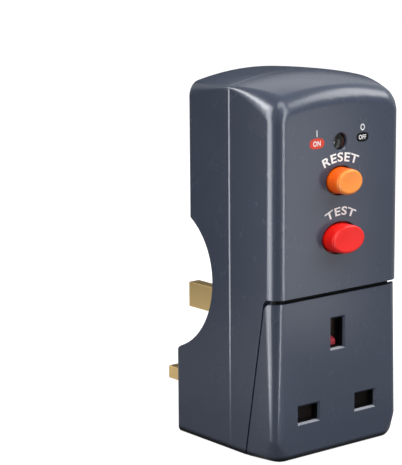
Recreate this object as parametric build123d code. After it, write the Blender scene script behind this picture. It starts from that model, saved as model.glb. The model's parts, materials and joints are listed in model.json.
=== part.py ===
from build123d import *
from math import cos, hypot, pi, sin, sqrt
import os

# A plug-in residual current adapter: plug pins behind, a three-hole socket low in front, and above
# it the trip mechanism with a reset button and a test button.
# Every piece is modelled with X to the right seen from the front, Y from the front face towards
# the plug face, and Z up from the foot. save() then moves it, so that the written parts have their
# origin on the plug face, midway in height between the earth pin and the two lower pins.
# All lengths are in millimetres.

# General clearances
overrun = 1.0            # how far a cutting body runs past what it cuts
seat_gap = 0.05          # between pieces that are fixed against each other
guide_gap = 0.08         # radial running clearance of rods, pins and stems
button_gap = 0.5         # round the buttons in the front cover
least_round = 0.4        # smallest corner radius kept on an inner wall
stop_gap = 0.1           # left at rest or at full travel between pieces that meet

# Case outside
body_width = 48.7
body_height = 110.6
body_depth = 46.2        # front face to plug face
plug_base_rise = 6.8     # how far the plug face stands behind the upper rear face
seam_depth = 20.1        # front face to the parting line
wall = 2.0
dome_radius = 96.0       # crown of the top, seen from the front
swoop_radius = 48.0      # the top's fall from the seam to the front face
upright_round = 4.1      # upright front edges
brow_round = 4.0         # top front edge
seam_shoulder = 1.0      # corner between side and top at the seam
front_shoulder = 6.8     # the same corner near the front
shoulder_growth_share = 0.36
rear_shoulder = 4.5
rear_fall = 0.7          # height lost between the seam and the upper rear face
rear_edge_round = 1.2
foot_round = 1.3
front_foot_round = 4.6
front_low_round = 2.1    # lower front edge
front_steps = 6
swoop_steps = 6
rear_steps = 4

# Plug base and its tongue that carries the earth pin
plug_wall = 3.0
plug_base_top = 31.0
plug_face_round = 1.5
tongue_width = 17.0
tongue_top = 44.0
tongue_corner = 4.0

# Finger scoops in the two sides
scoop_height = 49.3      # where the scoop is deepest
scoop_front = 28.4       # front face to the deepest point
scoop_upper_radius = 21.0
scoop_lower_radius = 23.5
scoop_lip_radius = 4.5
scoop_web_half = 14.0    # half width of the web left between the scoops

# Label recess in the upper rear face
label_width = 26.0
label_height = 18.0
label_top_margin = 17.6
label_depth = 0.3
label_corner = 1.5

# Socket insert
insert_recess = 0.65     # how far its face lies behind the front face
step_height = 48.26
step_gap = 1.3
groove = 0.65
groove_depth_top = 5.27  # front face to the groove at the step
groove_depth_foot = 13.8 # front face to the groove at the foot
groove_corner = 2.4
insert_wall = 2.75
skirt_wall = 1.2
skirt_overlap = 2.7      # how far the skirt reaches behind the front cover's edge
skirt_margin = 4.0       # kept free above the foot and below the step
flange_rise = 3.2        # how far the insert reaches up behind the front cover
flange_margin = 3.4
flange_reach = 7.0       # front face to the ends of its sides

# Pins and apertures
pin_spacing = 22.22      # between the two lower pins, and up to the earth pin
lower_pin_height = 13.3
lower_pin_width = 6.35
lower_pin_thick = 4.0
lower_pin_length = 17.7
earth_pin_width = 4.0
earth_pin_tall = 8.0
earth_pin_length = 22.7
pin_tip_chamfer = 0.9
sleeve_length = 9.5
sleeve_wall = 0.6
pin_head_thick = 3.0
pin_head_margin = 1.0
aperture_gap = 0.35      # all round a pin in its aperture
lower_aperture_extra = 0.22
aperture_chamfer = 0.6

# Buttons and window in the front cover; their heights are shares of the room above the step
reset_height_share = 0.5162
reset_half_width = 5.03
reset_half_height = 3.83
reset_proud = 4.46
reset_travel = 2.6
test_height_share = 0.2485
test_half_width = 6.4
test_half_height = 4.27
test_proud = 3.98
test_travel = 1.6
button_crown = 0.7
button_flange = 0.8
button_flange_thick = 1.2
stem_radius = 2.0
window_height_share = 0.6949
window_radius = 2.31
window_chamfer = 0.4
window_recess = 0.35
window_flange = 0.8
window_flange_thick = 0.8

# Housing screws
screw_upper_margin = 6.85  # side face to the axis
screw_height_share = 0.8059
screw_lower_margin = 5.35
screw_lower_height = 19.4
screw_head_radius = 2.7
screw_head_thick = 2.2
screw_shank_radius = 1.4
screw_shank_length = 24.0
screw_slot_width = 0.8
screw_slot_depth = 1.0
screw_sink_upper = 3.0   # rear face to the seat under the head
screw_sink_lower = 5.0
screw_recess_gap = 0.2
boss_wall = 1.3
front_boss_radius = 3.2
lower_boss_length = 6.4

# Mechanism frame
frame_depth = 9.5        # front face to the frame plate
frame_plate_thick = 1.5
frame_margin = 7.15      # side face to the plate's edge
frame_low_share = 0.1081
frame_top_share = 0.8781
frame_boss_gap = 0.7     # beside the upper screw bosses
frame_boss_drop = 1.9    # below them
frame_leg_radius = 2.0
frame_leg_inset = 3.0
frame_leg_rise = 2.2
frame_leg_drop = 3.9
rear_leg_radius = 1.8
rear_leg_inset = 2.0
rear_leg_rise = 3.5
rear_leg_drop = 2.2
guide_rod_radius = 1.2
guide_rod_x = 6.5

# Contact base and its screws
contact_base_thick = 2.4
contact_base_low_share = 0.2846
contact_base_drop = 1.1  # below the upper screw bosses
base_screw_radius = 1.0
base_screw_head = 1.7
base_screw_head_thick = 0.9
base_screw_length = 8.0

# Moving contacts
carriage_gap = 3.0       # frame plate to carriage
carriage_thick = 4.0
carriage_end = 0.29      # past the outer edges of the contacts
carriage_half_height = 3.5
ledge_near = 2.0
ledge_far = 5.0
ledge_rise = 2.9
ledge_thick = 1.4
strip_half = 1.6
strip_thick = 0.8
strip_half_height = 8.0
tip_radius = 1.3
tip_thick = 0.8
tip_offset = 6.2
bar_thick = 1.0

# Socket moulding and contacts
carrier_front = 5.6
carrier_thick = 1.8
carrier_margin = 4.85     # side face to the moulding's edge
carrier_low = 5.0
carrier_top = 44.0
chamber_wall = 1.0
blade_thick = 0.8
blade_front = 7.6
lower_blade_half = 2.8
lower_clip_end = 19.2
earth_blade_half = 3.5
earth_clip_end = 24.6
carrier_post_inset = 1.7
carrier_post_low = 24.0
carrier_post_high = 40.8
carrier_post_radius = 1.6
carrier_screw_radius = 0.8
carrier_screw_head = 1.4
carrier_screw_head_thick = 0.8
carrier_screw_length = 4.4

# Shutter
shutter_front = 3.7
shutter_thick = 1.4
shutter_travel = 6.8
shutter_clear = 0.55     # its top below the open apertures
shutter_half = 15.0
shutter_stem_half = 3.2
shutter_stem_top = 31.0
shutter_nose_half = 1.9
shutter_nose_top = 34.0
rail_thick = 1.2
rail_gap = 0.2
rail_low = 6.0
rail_top = 30.0
rail_deep = 2.0
shutter_spring_x = 5.2
shutter_spring_length = 13.4
shutter_peg_half = 1.0
shutter_peg_tall = 1.5
shutter_peg_deep = 1.8

# Springs
spring_wall = 0.7
spring_bore_gap = 0.2

# Supply conductors and transformer
conductor_half = 0.8
conductor_x = 3.0
conductor_gap = 0.8      # behind the contact base
conductor_rise = 0.5     # above the contact base
transformer_low_share = 0.06
transformer_tall = 6.0
transformer_radius = 8.2
transformer_bore = 5.0
winding_wall = 0.8
shelf_thick = 2.0
shelf_reach = 6.0        # in front of the ring's axis
shelf_half = 11.0

# Trip coil, plunger and latch
coil_gap = 0.6           # between the yoke and the spool's flange
coil_height_share = 0.8059
coil_left = -12.0
coil_right = -1.0
yoke_thick = 1.0
yoke_half = 3.2
bobbin_bore = 2.1
bobbin_wall = 0.7
bobbin_flange_radius = 4.4
bobbin_flange_thick = 0.8
plunger_radius = 2.0
plunger_end_gap = 1.5
plunger_right = 5.8
plunger_collar_radius = 3.0
plunger_collar_thick = 1.0
plunger_travel = 1.5
latch_gap = 0.7          # plunger to lever
latch_width = 2.6
latch_thick = 3.0
latch_past = 0.6         # how far the lever reaches behind the plunger's axis
latch_clear = 2.46       # its low end above the carriage
latch_over = 2.5         # its top above the plunger's axis
latch_pivot_share = 0.7176
latch_pin_radius = 1.0

# Indicator flag
flag_pivot_share = 0.838
flag_front = 4.2
flag_thick = 0.8
flag_marker_thick = 0.25
flag_band = 6.0          # the sector's width, centred on the window
flag_hub_radius = 2.0
flag_arm_half = 1.0
flag_pin_radius = 0.9
flag_boss_length = 1.6
flag_dark_angle = -16.0  # degrees from straight down, towards +X
flag_colour_angle = 12.5
flag_end_angle = 40.0

# Test contact
test_disc_radius = 2.6
test_disc_thick = 0.6
test_strip_inner = 1.2
test_strip_outer = 3.2
test_strip_thick = 0.6
test_strip_drop = 2.25   # below the button's axis
test_strip_rise = 4.0    # above the contact base's low edge

# Circuit board and its parts, whose heights are shares of the board's height
board_thick = 1.6
board_half = 13.0
board_low_share = 0.3648
board_top_share = 0.8942
board_post_length = 2.8
board_post_radius = 1.8
board_post_x = 11.0
board_post_margin = 2.0
chip_near = 6.0
chip_far = 12.0
chip_low_share = 0.4394
chip_tall = 6.0
chip_thick = 1.8
varistor_x = 9.0
varistor_share = 0.2121
varistor_radius = 4.0
varistor_thick = 3.0
thyristor_near = 6.0
thyristor_far = 12.0
thyristor_low_share = 0.0909
thyristor_tall = 5.5
thyristor_thick = 3.5
capacitor_x = 8.5
capacitor_low_share = 0.4545
capacitor_pitch = 5.6
capacitor_radius = 2.4
capacitor_tall = 3.8
capacitor_count = 2
resistor_near = 5.2
resistor_far = 11.2
resistor_low_share = 0.7455
resistor_pitch = 2.5
resistor_radius = 0.9
resistor_count = 3
diode_radius = 0.8
diode_low_share = 0.84
diode_pitch = 2.0
diode_count = 3

# Depths that follow, front to rear
upper_depth = body_depth - plug_base_rise
upper_inner = upper_depth - wall
plug_inner = body_depth - plug_wall
insert_inner = insert_recess + insert_wall
carrier_rear = carrier_front + carrier_thick
lower_clip_rear = lower_clip_end + blade_thick
earth_clip_rear = earth_clip_end + blade_thick
pin_head_front = plug_inner - pin_head_thick
frame_rear = frame_depth + frame_plate_thick
carriage_depth = frame_rear + carriage_gap
carriage_rear = carriage_depth + carriage_thick
moving_tip_front = carriage_rear + strip_thick
fixed_tip_front = moving_tip_front + tip_thick + reset_travel
contact_base_depth = fixed_tip_front + tip_thick + bar_thick
contact_base_rear = contact_base_depth + contact_base_thick
conductor_depth = contact_base_rear + conductor_gap + conductor_half
shelf_front = conductor_depth - shelf_reach
board_depth = upper_inner - board_post_length - board_thick
coil_depth = frame_rear + yoke_thick + bobbin_flange_radius + coil_gap
latch_front = coil_depth + latch_past - latch_thick

# Heights that follow
earth_pin_height = lower_pin_height + pin_spacing
origin_height = (lower_pin_height + earth_pin_height) / 2
shutter_low = wall + rail_gap + shutter_travel
shutter_top = lower_pin_height - lower_pin_thick / 2 - aperture_gap - shutter_clear + shutter_travel
upper_room = body_height - step_height
test_height = step_height + test_height_share * upper_room
reset_height = step_height + reset_height_share * upper_room
window_height = step_height + window_height_share * upper_room
screw_upper_height = step_height + screw_height_share * upper_room
rear_boss_radius = screw_head_radius + screw_recess_gap + boss_wall
label_middle = body_height - label_top_margin - label_height / 2
frame_low = step_height + frame_low_share * upper_room
frame_top = step_height + frame_top_share * upper_room
frame_shoulder = screw_upper_height - front_boss_radius - frame_boss_drop
frame_leg_low = frame_low + frame_leg_rise
frame_leg_high = frame_shoulder - frame_leg_drop
contact_base_low = step_height + contact_base_low_share * upper_room
contact_base_top = screw_upper_height - rear_boss_radius - contact_base_drop
rear_leg_low = contact_base_low + rear_leg_rise
rear_leg_high = contact_base_top - rear_leg_drop
conductor_top = contact_base_top + conductor_rise + conductor_half
transformer_low = step_height + transformer_low_share * upper_room
coil_height = step_height + coil_height_share * upper_room
latch_pivot = step_height + latch_pivot_share * upper_room
latch_low = reset_height + carriage_half_height + latch_clear
latch_top = coil_height + latch_over
flag_pivot = step_height + flag_pivot_share * upper_room
flag_inner = flag_pivot - window_height - flag_band / 2
flag_outer = flag_inner + flag_band
test_strip_low = test_height - test_strip_drop
test_strip_top = contact_base_low + test_strip_rise
board_low = step_height + board_low_share * upper_room
board_top = step_height + board_top_share * upper_room
board_tall = board_top - board_low
chip_low = board_low + chip_low_share * board_tall
varistor_height = board_low + varistor_share * board_tall
thyristor_low = board_low + thyristor_low_share * board_tall
capacitor_low = board_low + capacitor_low_share * board_tall
resistor_low = board_low + resistor_low_share * board_tall
diode_low = board_low + diode_low_share * board_tall

# Places across that follow
half_width = body_width / 2
pin_x = pin_spacing / 2
screw_upper_x = half_width - screw_upper_margin
screw_lower_x = half_width - screw_lower_margin
frame_half = half_width - frame_margin
frame_upper_half = screw_upper_x - front_boss_radius - frame_boss_gap
frame_leg_x = frame_half - frame_leg_inset
contact_base_half = frame_half
rear_leg_x = contact_base_half - rear_leg_inset
carriage_half = pin_x + strip_half + carriage_end
carrier_half = half_width - carrier_margin
carrier_post_x = carrier_half - carrier_post_inset
plunger_left = coil_left + plunger_end_gap + plunger_travel
latch_left = plunger_right + latch_gap
latch_right = latch_left + latch_width


def save(name, shape):
    """Write one piece with the origin on the plug face, midway between the pins' heights."""
    placed = Pos(0, -body_depth, -origin_height) * shape
    export_step(placed, "parts/" + name + ".step")


def block(x0, x1, y0, y1, z0, z1):
    """A box between two opposite corners."""
    return Pos((x0 + x1) / 2, (y0 + y1) / 2, (z0 + z1) / 2) * Box(x1 - x0, y1 - y0, z1 - z0)


def rod_x(y, z, x0, x1, radius):
    """A round rod along X."""
    return Pos((x0 + x1) / 2, y, z) * Rot(0, 90, 0) * Cylinder(radius, x1 - x0)


def rod_y(x, z, y0, y1, radius):
    """A round rod along Y."""
    return Pos(x, (y0 + y1) / 2, z) * Rot(90, 0, 0) * Cylinder(radius, y1 - y0)


def rod_z(x, y, z0, z1, radius):
    """A round rod along Z."""
    return Pos(x, y, (z0 + z1) / 2) * Cylinder(radius, z1 - z0)


def front_plane(depth):
    """A sketch plane parallel to the front face; its local Y is up."""
    return Plane(origin=(0, depth, 0), x_dir=(1, 0, 0), z_dir=(0, -1, 0))


def side_plane(x):
    """A sketch plane parallel to the sides; its local X is depth and its local Y is up."""
    return Plane(origin=(x, 0, 0), x_dir=(0, 1, 0), z_dir=(1, 0, 0))


def oval(z, y0, y1, half_x, half_z):
    """An oval rod along Y at X = 0."""
    return extrude(front_plane(y0) * Pos(0, z) * Ellipse(half_x, half_z), amount=y0 - y1)


def slab(face_at_zero, x0, x1):
    """A depth and height outline carried along X from x0 to x1."""
    return Pos(x0, 0, 0) * extrude(face_at_zero, amount=x1 - x0)


def both_sides(piece):
    """A piece on the right and its mirror image on the left."""
    return [piece, mirror(piece, about=Plane.YZ)]


def chamfered_hole(half_x, half_z, x, z, y0, y1, chamfer_size):
    """A rectangular hole along Y from y0 to y1 with its front rim widened by a chamfer."""
    hole = block(x - half_x, x + half_x, y0 - overrun, y1 + overrun, z - half_z, z + half_z)
    narrow = front_plane(y0 + chamfer_size) * Pos(x, z) * Rectangle(2 * half_x, 2 * half_z)
    wide_x = 2 * (half_x + chamfer_size)
    wide_z = 2 * (half_z + chamfer_size)
    wide = front_plane(y0) * Pos(x, z) * Rectangle(wide_x, wide_z)
    return hole + loft([wide, narrow], ruled=True)


# The outer form of the case

def edge_drop(radius, distance):
    """How far a rounded edge falls back at a distance in from its face."""
    if distance >= radius:
        return 0.0
    return radius - sqrt(radius ** 2 - (radius - max(distance, 0)) ** 2)


def top_at(depth):
    """Height of the crown: a circular fall in front of the seam, a slow one behind it."""
    if depth < seam_depth:
        return body_height - swoop_radius + sqrt(swoop_radius ** 2 - (seam_depth - depth) ** 2)
    return body_height - rear_fall * ((depth - seam_depth) / (upper_depth - seam_depth)) ** 2


def shoulder_at(depth):
    """Radius between side and top, least at the seam."""
    if depth < seam_depth:
        return min(seam_shoulder + shoulder_growth_share * (seam_depth - depth), front_shoulder)
    along = (depth - seam_depth) / (upper_depth - seam_depth)
    return seam_shoulder + (rear_shoulder - seam_shoulder) * along


def foot_at(depth):
    """Radius between side and foot, largest at the front of the socket."""
    along = min(max(depth / groove_depth_foot, 0), 1)
    return front_foot_round + (foot_round - front_foot_round) * along


def body_wire(depth, inset=0, start=0):
    """The case's outline at a depth, with a wall of inset left outside it, begun behind the face."""
    distance = depth - start - inset
    side_drop = edge_drop(max(upright_round - inset, least_round), distance)
    brow_drop = edge_drop(max(brow_round - inset, least_round), distance)
    from_rear = upper_depth - inset - depth
    rear_drop = edge_drop(max(rear_edge_round - inset, least_round), from_rear)
    half = half_width - inset - side_drop - rear_drop
    top = top_at(depth) - inset - brow_drop - rear_drop
    low = inset + edge_drop(max(front_low_round - inset, least_round), distance)
    crown = dome_radius - inset
    eased = (side_drop + brow_drop) / 2 + inset
    corner = max(shoulder_at(depth) - eased, least_round)
    foot = max(foot_at(depth) - inset - side_drop / 4, least_round)
    centre = top - crown
    corner_z = centre + sqrt((crown - corner) ** 2 - (half - corner) ** 2)
    ux = (half - corner) / (crown - corner)
    uz = (corner_z - centre) / (crown - corner)
    shoulder = (crown * ux, centre + crown * uz)
    length = hypot(1 + ux, uz)
    corner_mid = (half - corner + corner * (1 + ux) / length, corner_z + corner * uz / length)
    slant = sqrt(2) / 2
    foot_mid = (half - foot + foot * slant, low + foot - foot * slant)

    def right(x, z):
        return (x, depth, z)

    def left(x, z):
        return (-x, depth, z)

    edges = [
        Line(left(half - foot, low), right(half - foot, low)),
        ThreePointArc(right(half - foot, low), right(*foot_mid), right(half, low + foot)),
        Line(right(half, low + foot), right(half, corner_z)),
        ThreePointArc(right(half, corner_z), right(*corner_mid), right(*shoulder)),
        ThreePointArc(right(*shoulder), right(0, top), left(*shoulder)),
        ThreePointArc(left(*shoulder), left(*corner_mid), left(half, corner_z)),
        Line(left(half, corner_z), left(half, low + foot)),
        ThreePointArc(left(half, low + foot), left(*foot_mid), left(half - foot, low)),
    ]
    return Wire(edges)


def rounding_depths(first, radius, steps):
    """Depths that divide a rounded edge evenly by angle."""
    return [first + radius * (1 - cos(pi / 2 * i / steps)) for i in range(steps + 1)]


def even_depths(first, last, steps):
    """Depths after the first one, evenly spaced up to the last."""
    return [first + (last - first) * (i + 1) / steps for i in range(steps)]


def body_form(depths, inset=0, start=0):
    """The solid through the case's outlines at the given depths."""
    return Solid.make_loft([body_wire(depth, inset, start) for depth in depths], ruled=True)


def front_form(inset=0, start=0, front_wall=None, beyond=0):
    """The front half of the case, from its front face, or from behind a front wall, past the seam."""
    first = start + (inset if front_wall is None else front_wall)
    rounding = max(upright_round - inset, least_round)
    depths = rounding_depths(first, rounding, front_steps)
    depths += even_depths(first + rounding, seam_depth, swoop_steps)
    if beyond:
        depths.append(seam_depth + beyond)
    shift = 0 if front_wall is None else front_wall - inset
    return body_form(depths, inset, start + shift)


def rear_form(inset=0):
    """The rear half of the case above the plug base, from the seam to the rear face."""
    rounding = max(rear_edge_round - inset, least_round)
    last = upper_depth - inset
    depths = [seam_depth] + even_depths(seam_depth, last - rounding, rear_steps)
    depths += [last - depth for depth in reversed(rounding_depths(0, rounding, rear_steps)[:-1])]
    return body_form(depths, inset)


def scoop_face(grow=0):
    """The scoop's outline in depth and height, grown by a wall: two arcs and a rounded lip."""
    upper = scoop_upper_radius + grow
    lower = scoop_lower_radius + grow
    lip = scoop_lip_radius - grow
    face = body_depth - grow
    upper_centre = scoop_front + scoop_upper_radius
    lower_centre = scoop_front + scoop_lower_radius
    lip_y = face - lip
    lip_z = scoop_height - sqrt((lower + lip) ** 2 - (lower_centre - lip_y) ** 2)
    toward_y = (lip_y - lower_centre) / (lower + lip)
    toward_z = (lip_z - scoop_height) / (lower + lip)
    meet = (lower_centre + lower * toward_y, scoop_height + lower * toward_z)
    deepest = (scoop_front - grow, scoop_height)
    slant = sqrt(2) / 2
    upper_mid = (upper_centre - upper * slant, scoop_height + upper * slant)
    lower_length = hypot(toward_y - 1, toward_z)
    lower_mid = (
        lower_centre + lower * (toward_y - 1) / lower_length,
        scoop_height + lower * toward_z / lower_length,
    )
    lip_length = hypot(1 - toward_y, toward_z)
    lip_mid = (lip_y + lip * (1 - toward_y) / lip_length, lip_z - lip * toward_z / lip_length)
    outside = body_depth + scoop_lip_radius
    edges = [
        ThreePointArc((upper_centre, scoop_height + upper), upper_mid, deepest),
        ThreePointArc(deepest, lower_mid, meet),
        ThreePointArc(meet, lip_mid, (face, lip_z)),
        Line((face, lip_z), (outside, lip_z)),
        Line((outside, lip_z), (outside, scoop_height + upper)),
        Line((outside, scoop_height + upper), (upper_centre, scoop_height + upper)),
    ]
    return side_plane(0) * make_face(edges)


def scoop_cuts(grow=0):
    """Both scoops, and the step down from the web to the plug base beside the tongue."""
    outline = scoop_face(grow)
    side = slab(outline, scoop_web_half - grow, half_width + overrun)
    behind = slab(outline, tongue_width / 2 - grow, scoop_web_half)
    step = block(0, half_width, upper_depth - grow, body_depth + scoop_lip_radius + overrun, 0, body_height)
    right = side + (behind & step)
    return both_sides(right)


def insert_face(gap=0, back=0):
    """The socket insert's outline in depth and height; back moves its rear edge behind the groove."""
    slope = (groove_depth_foot - groove_depth_top) / step_height
    top = step_height - (step_gap if gap else 0)
    rear_top = groove_depth_foot - slope * top - gap + back
    rear_foot = groove_depth_foot + slope * overrun - gap + back
    points = [(-overrun, -overrun), (rear_foot, -overrun), (rear_top, top), (-overrun, top)]
    outline = make_face(Polyline(*points, close=True))
    corner = outline.vertices().sort_by_distance((rear_top, top, 0))[0]
    return side_plane(0) * fillet(corner, groove_corner)


# Case

def housing_screw_places():
    """X, height and seat depth of the four housing screws."""
    upper = (screw_upper_x, screw_upper_height, upper_depth - screw_sink_upper)
    lower = (screw_lower_x, screw_lower_height, body_depth - screw_sink_lower)
    return [(side * x, z, seat) for side in (-1, 1) for x, z, seat in (upper, lower)]


def make_rear_housing():
    """Rear half of the case: plug base, scoops, web, screw bosses, board posts and coil shelf."""
    start = upper_inner + least_round
    base = block(-half_width, half_width, start, body_depth, 0, plug_base_top)
    base = fillet(base.edges().filter_by(Axis.Y).group_by(Axis.Z)[0], foot_round)
    rim = base.faces().sort_by(Axis.Y)[-1].edges().group_by(Axis.Z)
    rim_edges = [edge for group in rim[:-1] for edge in group]
    base = fillet(rim_edges, plug_face_round)
    tongue_low = lower_pin_height
    tongue_middle = (tongue_low + tongue_top) / 2
    tongue_shape = RectangleRounded(tongue_width, tongue_top - tongue_low, tongue_corner)
    tongue = extrude(front_plane(start) * Pos(0, tongue_middle) * tongue_shape, amount=start - body_depth)
    housing = rear_form() + base + tongue
    for cut in scoop_cuts():
        housing -= cut

    inner_half = half_width - wall
    cavity = rear_form(wall) + block(
        -inner_half, inner_half, upper_inner - overrun, plug_inner, wall, plug_base_top - wall)
    tongue_half = tongue_width / 2 - wall
    cavity += block(
        -tongue_half, tongue_half, upper_inner - overrun, plug_inner,
        plug_base_top - 2 * wall, tongue_top - wall)
    for cut in scoop_cuts(wall):
        cavity -= cut
    housing -= cavity

    for x, z, seat in housing_screw_places():
        end = upper_inner if z > scoop_height else plug_inner
        housing += rod_y(x, z, seam_depth, end, rear_boss_radius)
        housing -= rod_y(x, z, seat, body_depth + overrun, screw_head_radius + screw_recess_gap)
        housing -= rod_y(x, z, seam_depth - overrun, seat + overrun, screw_shank_radius + seat_gap)

    post_heights = (board_low + board_post_margin, board_top - board_post_margin)
    for x in (-board_post_x, board_post_x):
        for z in post_heights:
            housing += rod_y(x, z, board_depth + board_thick, upper_inner, board_post_radius)

    shelf = block(
        -shelf_half, shelf_half, shelf_front, upper_inner,
        transformer_low - shelf_thick, transformer_low)
    shelf -= rod_z(0, conductor_depth, transformer_low - 2 * shelf_thick, transformer_low + overrun,
                   transformer_bore)
    housing += shelf

    half_pin = lower_pin_width / 2
    half_thick = lower_pin_thick / 2
    for x in (-pin_x, pin_x):
        housing -= block(
            x - half_pin, x + half_pin, plug_inner - overrun, body_depth + overrun,
            lower_pin_height - half_thick, lower_pin_height + half_thick)
    housing -= block(
        -earth_pin_width / 2, earth_pin_width / 2, plug_inner - overrun, body_depth + overrun,
        earth_pin_height - earth_pin_tall / 2, earth_pin_height + earth_pin_tall / 2)

    label = RectangleRounded(label_width, label_height, label_corner)
    label_plane = front_plane(upper_depth - label_depth) * Pos(0, label_middle)
    housing -= extrude(label_plane * label, amount=-label_depth - overrun)
    return housing


def make_front_cover():
    """Front half of the case above and behind the socket insert, with screw bosses."""
    cover = front_form() - front_form(wall, beyond=overrun)
    cover -= slab(insert_face(), -half_width - overrun, half_width + overrun)

    boss_front = seam_depth - lower_boss_length
    for side in (-1, 1):
        x = side * screw_upper_x
        cover += rod_y(x, screw_upper_height, wall / 2, seam_depth, front_boss_radius)
        x = side * screw_lower_x
        boss = rod_y(x, screw_lower_height, boss_front, seam_depth, front_boss_radius)
        gusset_in, gusset_out = sorted([x, side * (half_width - wall / 2)])
        boss += block(
            gusset_in, gusset_out, boss_front, seam_depth,
            screw_lower_height - front_boss_radius, screw_lower_height + front_boss_radius)
        cover += boss
    for x, z, seat in housing_screw_places():
        tip = seat - screw_shank_length - stop_gap
        cover -= rod_y(x, z, tip, seam_depth + overrun, screw_shank_radius + seat_gap)

    cover -= oval(reset_height, -overrun, wall + overrun,
                  reset_half_width + button_gap, reset_half_height + button_gap)
    cover -= oval(test_height, -overrun, wall + overrun,
                  test_half_width + button_gap, test_half_height + button_gap)
    cover += rod_y(0, flag_pivot, wall / 2, wall + flag_boss_length, flag_hub_radius)
    cover -= rod_y(0, flag_pivot, wall, wall + flag_boss_length + overrun, flag_pin_radius + seat_gap)
    cover -= rod_y(0, window_height, -overrun, wall + overrun, window_radius + seat_gap)
    rim = front_plane(0) * Pos(0, window_height) * Circle(window_radius + window_chamfer)
    throat = front_plane(window_chamfer) * Pos(0, window_height) * Circle(window_radius + seat_gap)
    cover -= loft([rim, throat], ruled=True)
    return cover


def make_socket_front():
    """Wedge-shaped socket insert with three chamfered apertures, rails, posts, skirt and flange."""
    outline = insert_face(groove)
    across = half_width + overrun
    insert = front_form(0, insert_recess) - front_form(wall, insert_recess, insert_wall)
    insert &= slab(outline, -across, across)

    skirt_in = half_width - wall - stop_gap - skirt_wall
    skirt_out = half_width - wall - stop_gap
    limit = block(-across, across, insert_inner - least_round, seam_depth,
                  skirt_margin, step_height - skirt_margin)
    fixed = slab(outline, skirt_in, half_width - wall / 2) & limit
    reach = slab(insert_face(groove, skirt_overlap), skirt_in, skirt_out) & limit
    for skirt in both_sides(fixed + reach):
        insert += skirt

    flange = front_form(wall + stop_gap) - front_form(insert_inner)
    insert += flange & block(-across, across, 0, flange_reach,
                             step_height - flange_margin, step_height + flange_rise)

    rail_near = shutter_half + rail_gap
    for rail in both_sides(block(
            rail_near, rail_near + rail_thick, insert_inner - least_round, insert_inner + rail_deep,
            rail_low, rail_top)):
        insert += rail
    peg_low = shutter_top + shutter_spring_length
    for peg in both_sides(block(
            shutter_spring_x - shutter_peg_half, shutter_spring_x + shutter_peg_half,
            insert_inner - least_round, insert_inner + shutter_peg_deep,
            peg_low, peg_low + shutter_peg_tall)):
        insert += peg
    for x in (-carrier_post_x, carrier_post_x):
        for z in (carrier_post_low, carrier_post_high):
            insert += rod_y(x, z, insert_inner - least_round, carrier_front, carrier_post_radius)
            insert -= rod_y(x, z, carrier_rear - carrier_screw_length - stop_gap,
                            carrier_front + overrun, carrier_screw_radius + seat_gap)

    half_x = lower_pin_width / 2 + aperture_gap + lower_aperture_extra
    half_z = lower_pin_thick / 2 + aperture_gap
    for x in (-pin_x, pin_x):
        insert -= chamfered_hole(half_x, half_z, x, lower_pin_height,
                                 insert_recess, insert_inner, aperture_chamfer)
    insert -= chamfered_hole(earth_pin_width / 2 + aperture_gap, earth_pin_tall / 2 + aperture_gap,
                             0, earth_pin_height, insert_recess, insert_inner, aperture_chamfer)
    return insert


def make_housing_screws():
    """Four slotted screws from the rear into the front cover's bosses."""
    screws = []
    for x, z, seat in housing_screw_places():
        screw = rod_y(x, z, seat - screw_shank_length, seat + screw_head_thick / 2, screw_shank_radius)
        screw += rod_y(x, z, seat, seat + screw_head_thick, screw_head_radius)
        slot_front = seat + screw_head_thick - screw_slot_depth
        screw -= block(
            x - screw_head_radius - overrun, x + screw_head_radius + overrun,
            slot_front, seat + screw_head_thick + overrun,
            z - screw_slot_width / 2, z + screw_slot_width / 2)
        screws.append(screw)
    return Compound(children=screws)


# Plug pins

def make_lower_pin(x):
    """A lower plug pin: head inside the case, thin core under the sleeve, full section at the tip."""
    half = lower_pin_width / 2
    thick = lower_pin_thick / 2
    sleeve_end = body_depth + sleeve_length
    head = block(
        x - half - pin_head_margin, x + half + pin_head_margin, pin_head_front, plug_inner - seat_gap,
        lower_pin_height - thick - pin_head_margin, lower_pin_height + thick + pin_head_margin)
    core = block(
        x - half + sleeve_wall, x + half - sleeve_wall,
        plug_inner - pin_head_thick / 2, sleeve_end + seat_gap,
        lower_pin_height - thick + sleeve_wall, lower_pin_height + thick - sleeve_wall)
    tip = block(
        x - half, x + half, sleeve_end, body_depth + lower_pin_length,
        lower_pin_height - thick, lower_pin_height + thick)
    tip = chamfer(tip.faces().sort_by(Axis.Y)[-1].edges(), pin_tip_chamfer)
    return head + core + tip


def make_pin_sleeve(x):
    """The insulating sleeve round a lower pin, from inside the wall to the bare tip."""
    half = lower_pin_width / 2
    thick = lower_pin_thick / 2
    sleeve = block(
        x - half, x + half, plug_inner, body_depth + sleeve_length,
        lower_pin_height - thick, lower_pin_height + thick)
    return sleeve - block(
        x - half + sleeve_wall, x + half - sleeve_wall,
        plug_inner - overrun, body_depth + sleeve_length + overrun,
        lower_pin_height - thick + sleeve_wall, lower_pin_height + thick - sleeve_wall)


def make_earth_pin():
    """The earth pin with its head inside the case."""
    half = earth_pin_width / 2
    tall = earth_pin_tall / 2
    head = block(
        -half - pin_head_margin, half + pin_head_margin, pin_head_front, plug_inner - seat_gap,
        earth_pin_height - tall - pin_head_margin, earth_pin_height + tall + pin_head_margin)
    shank = block(
        -half, half, plug_inner - pin_head_thick / 2, body_depth + earth_pin_length,
        earth_pin_height - tall, earth_pin_height + tall)
    shank = chamfer(shank.faces().sort_by(Axis.Y)[-1].edges(), pin_tip_chamfer)
    return head + shank


# Socket contacts and conductors

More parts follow.
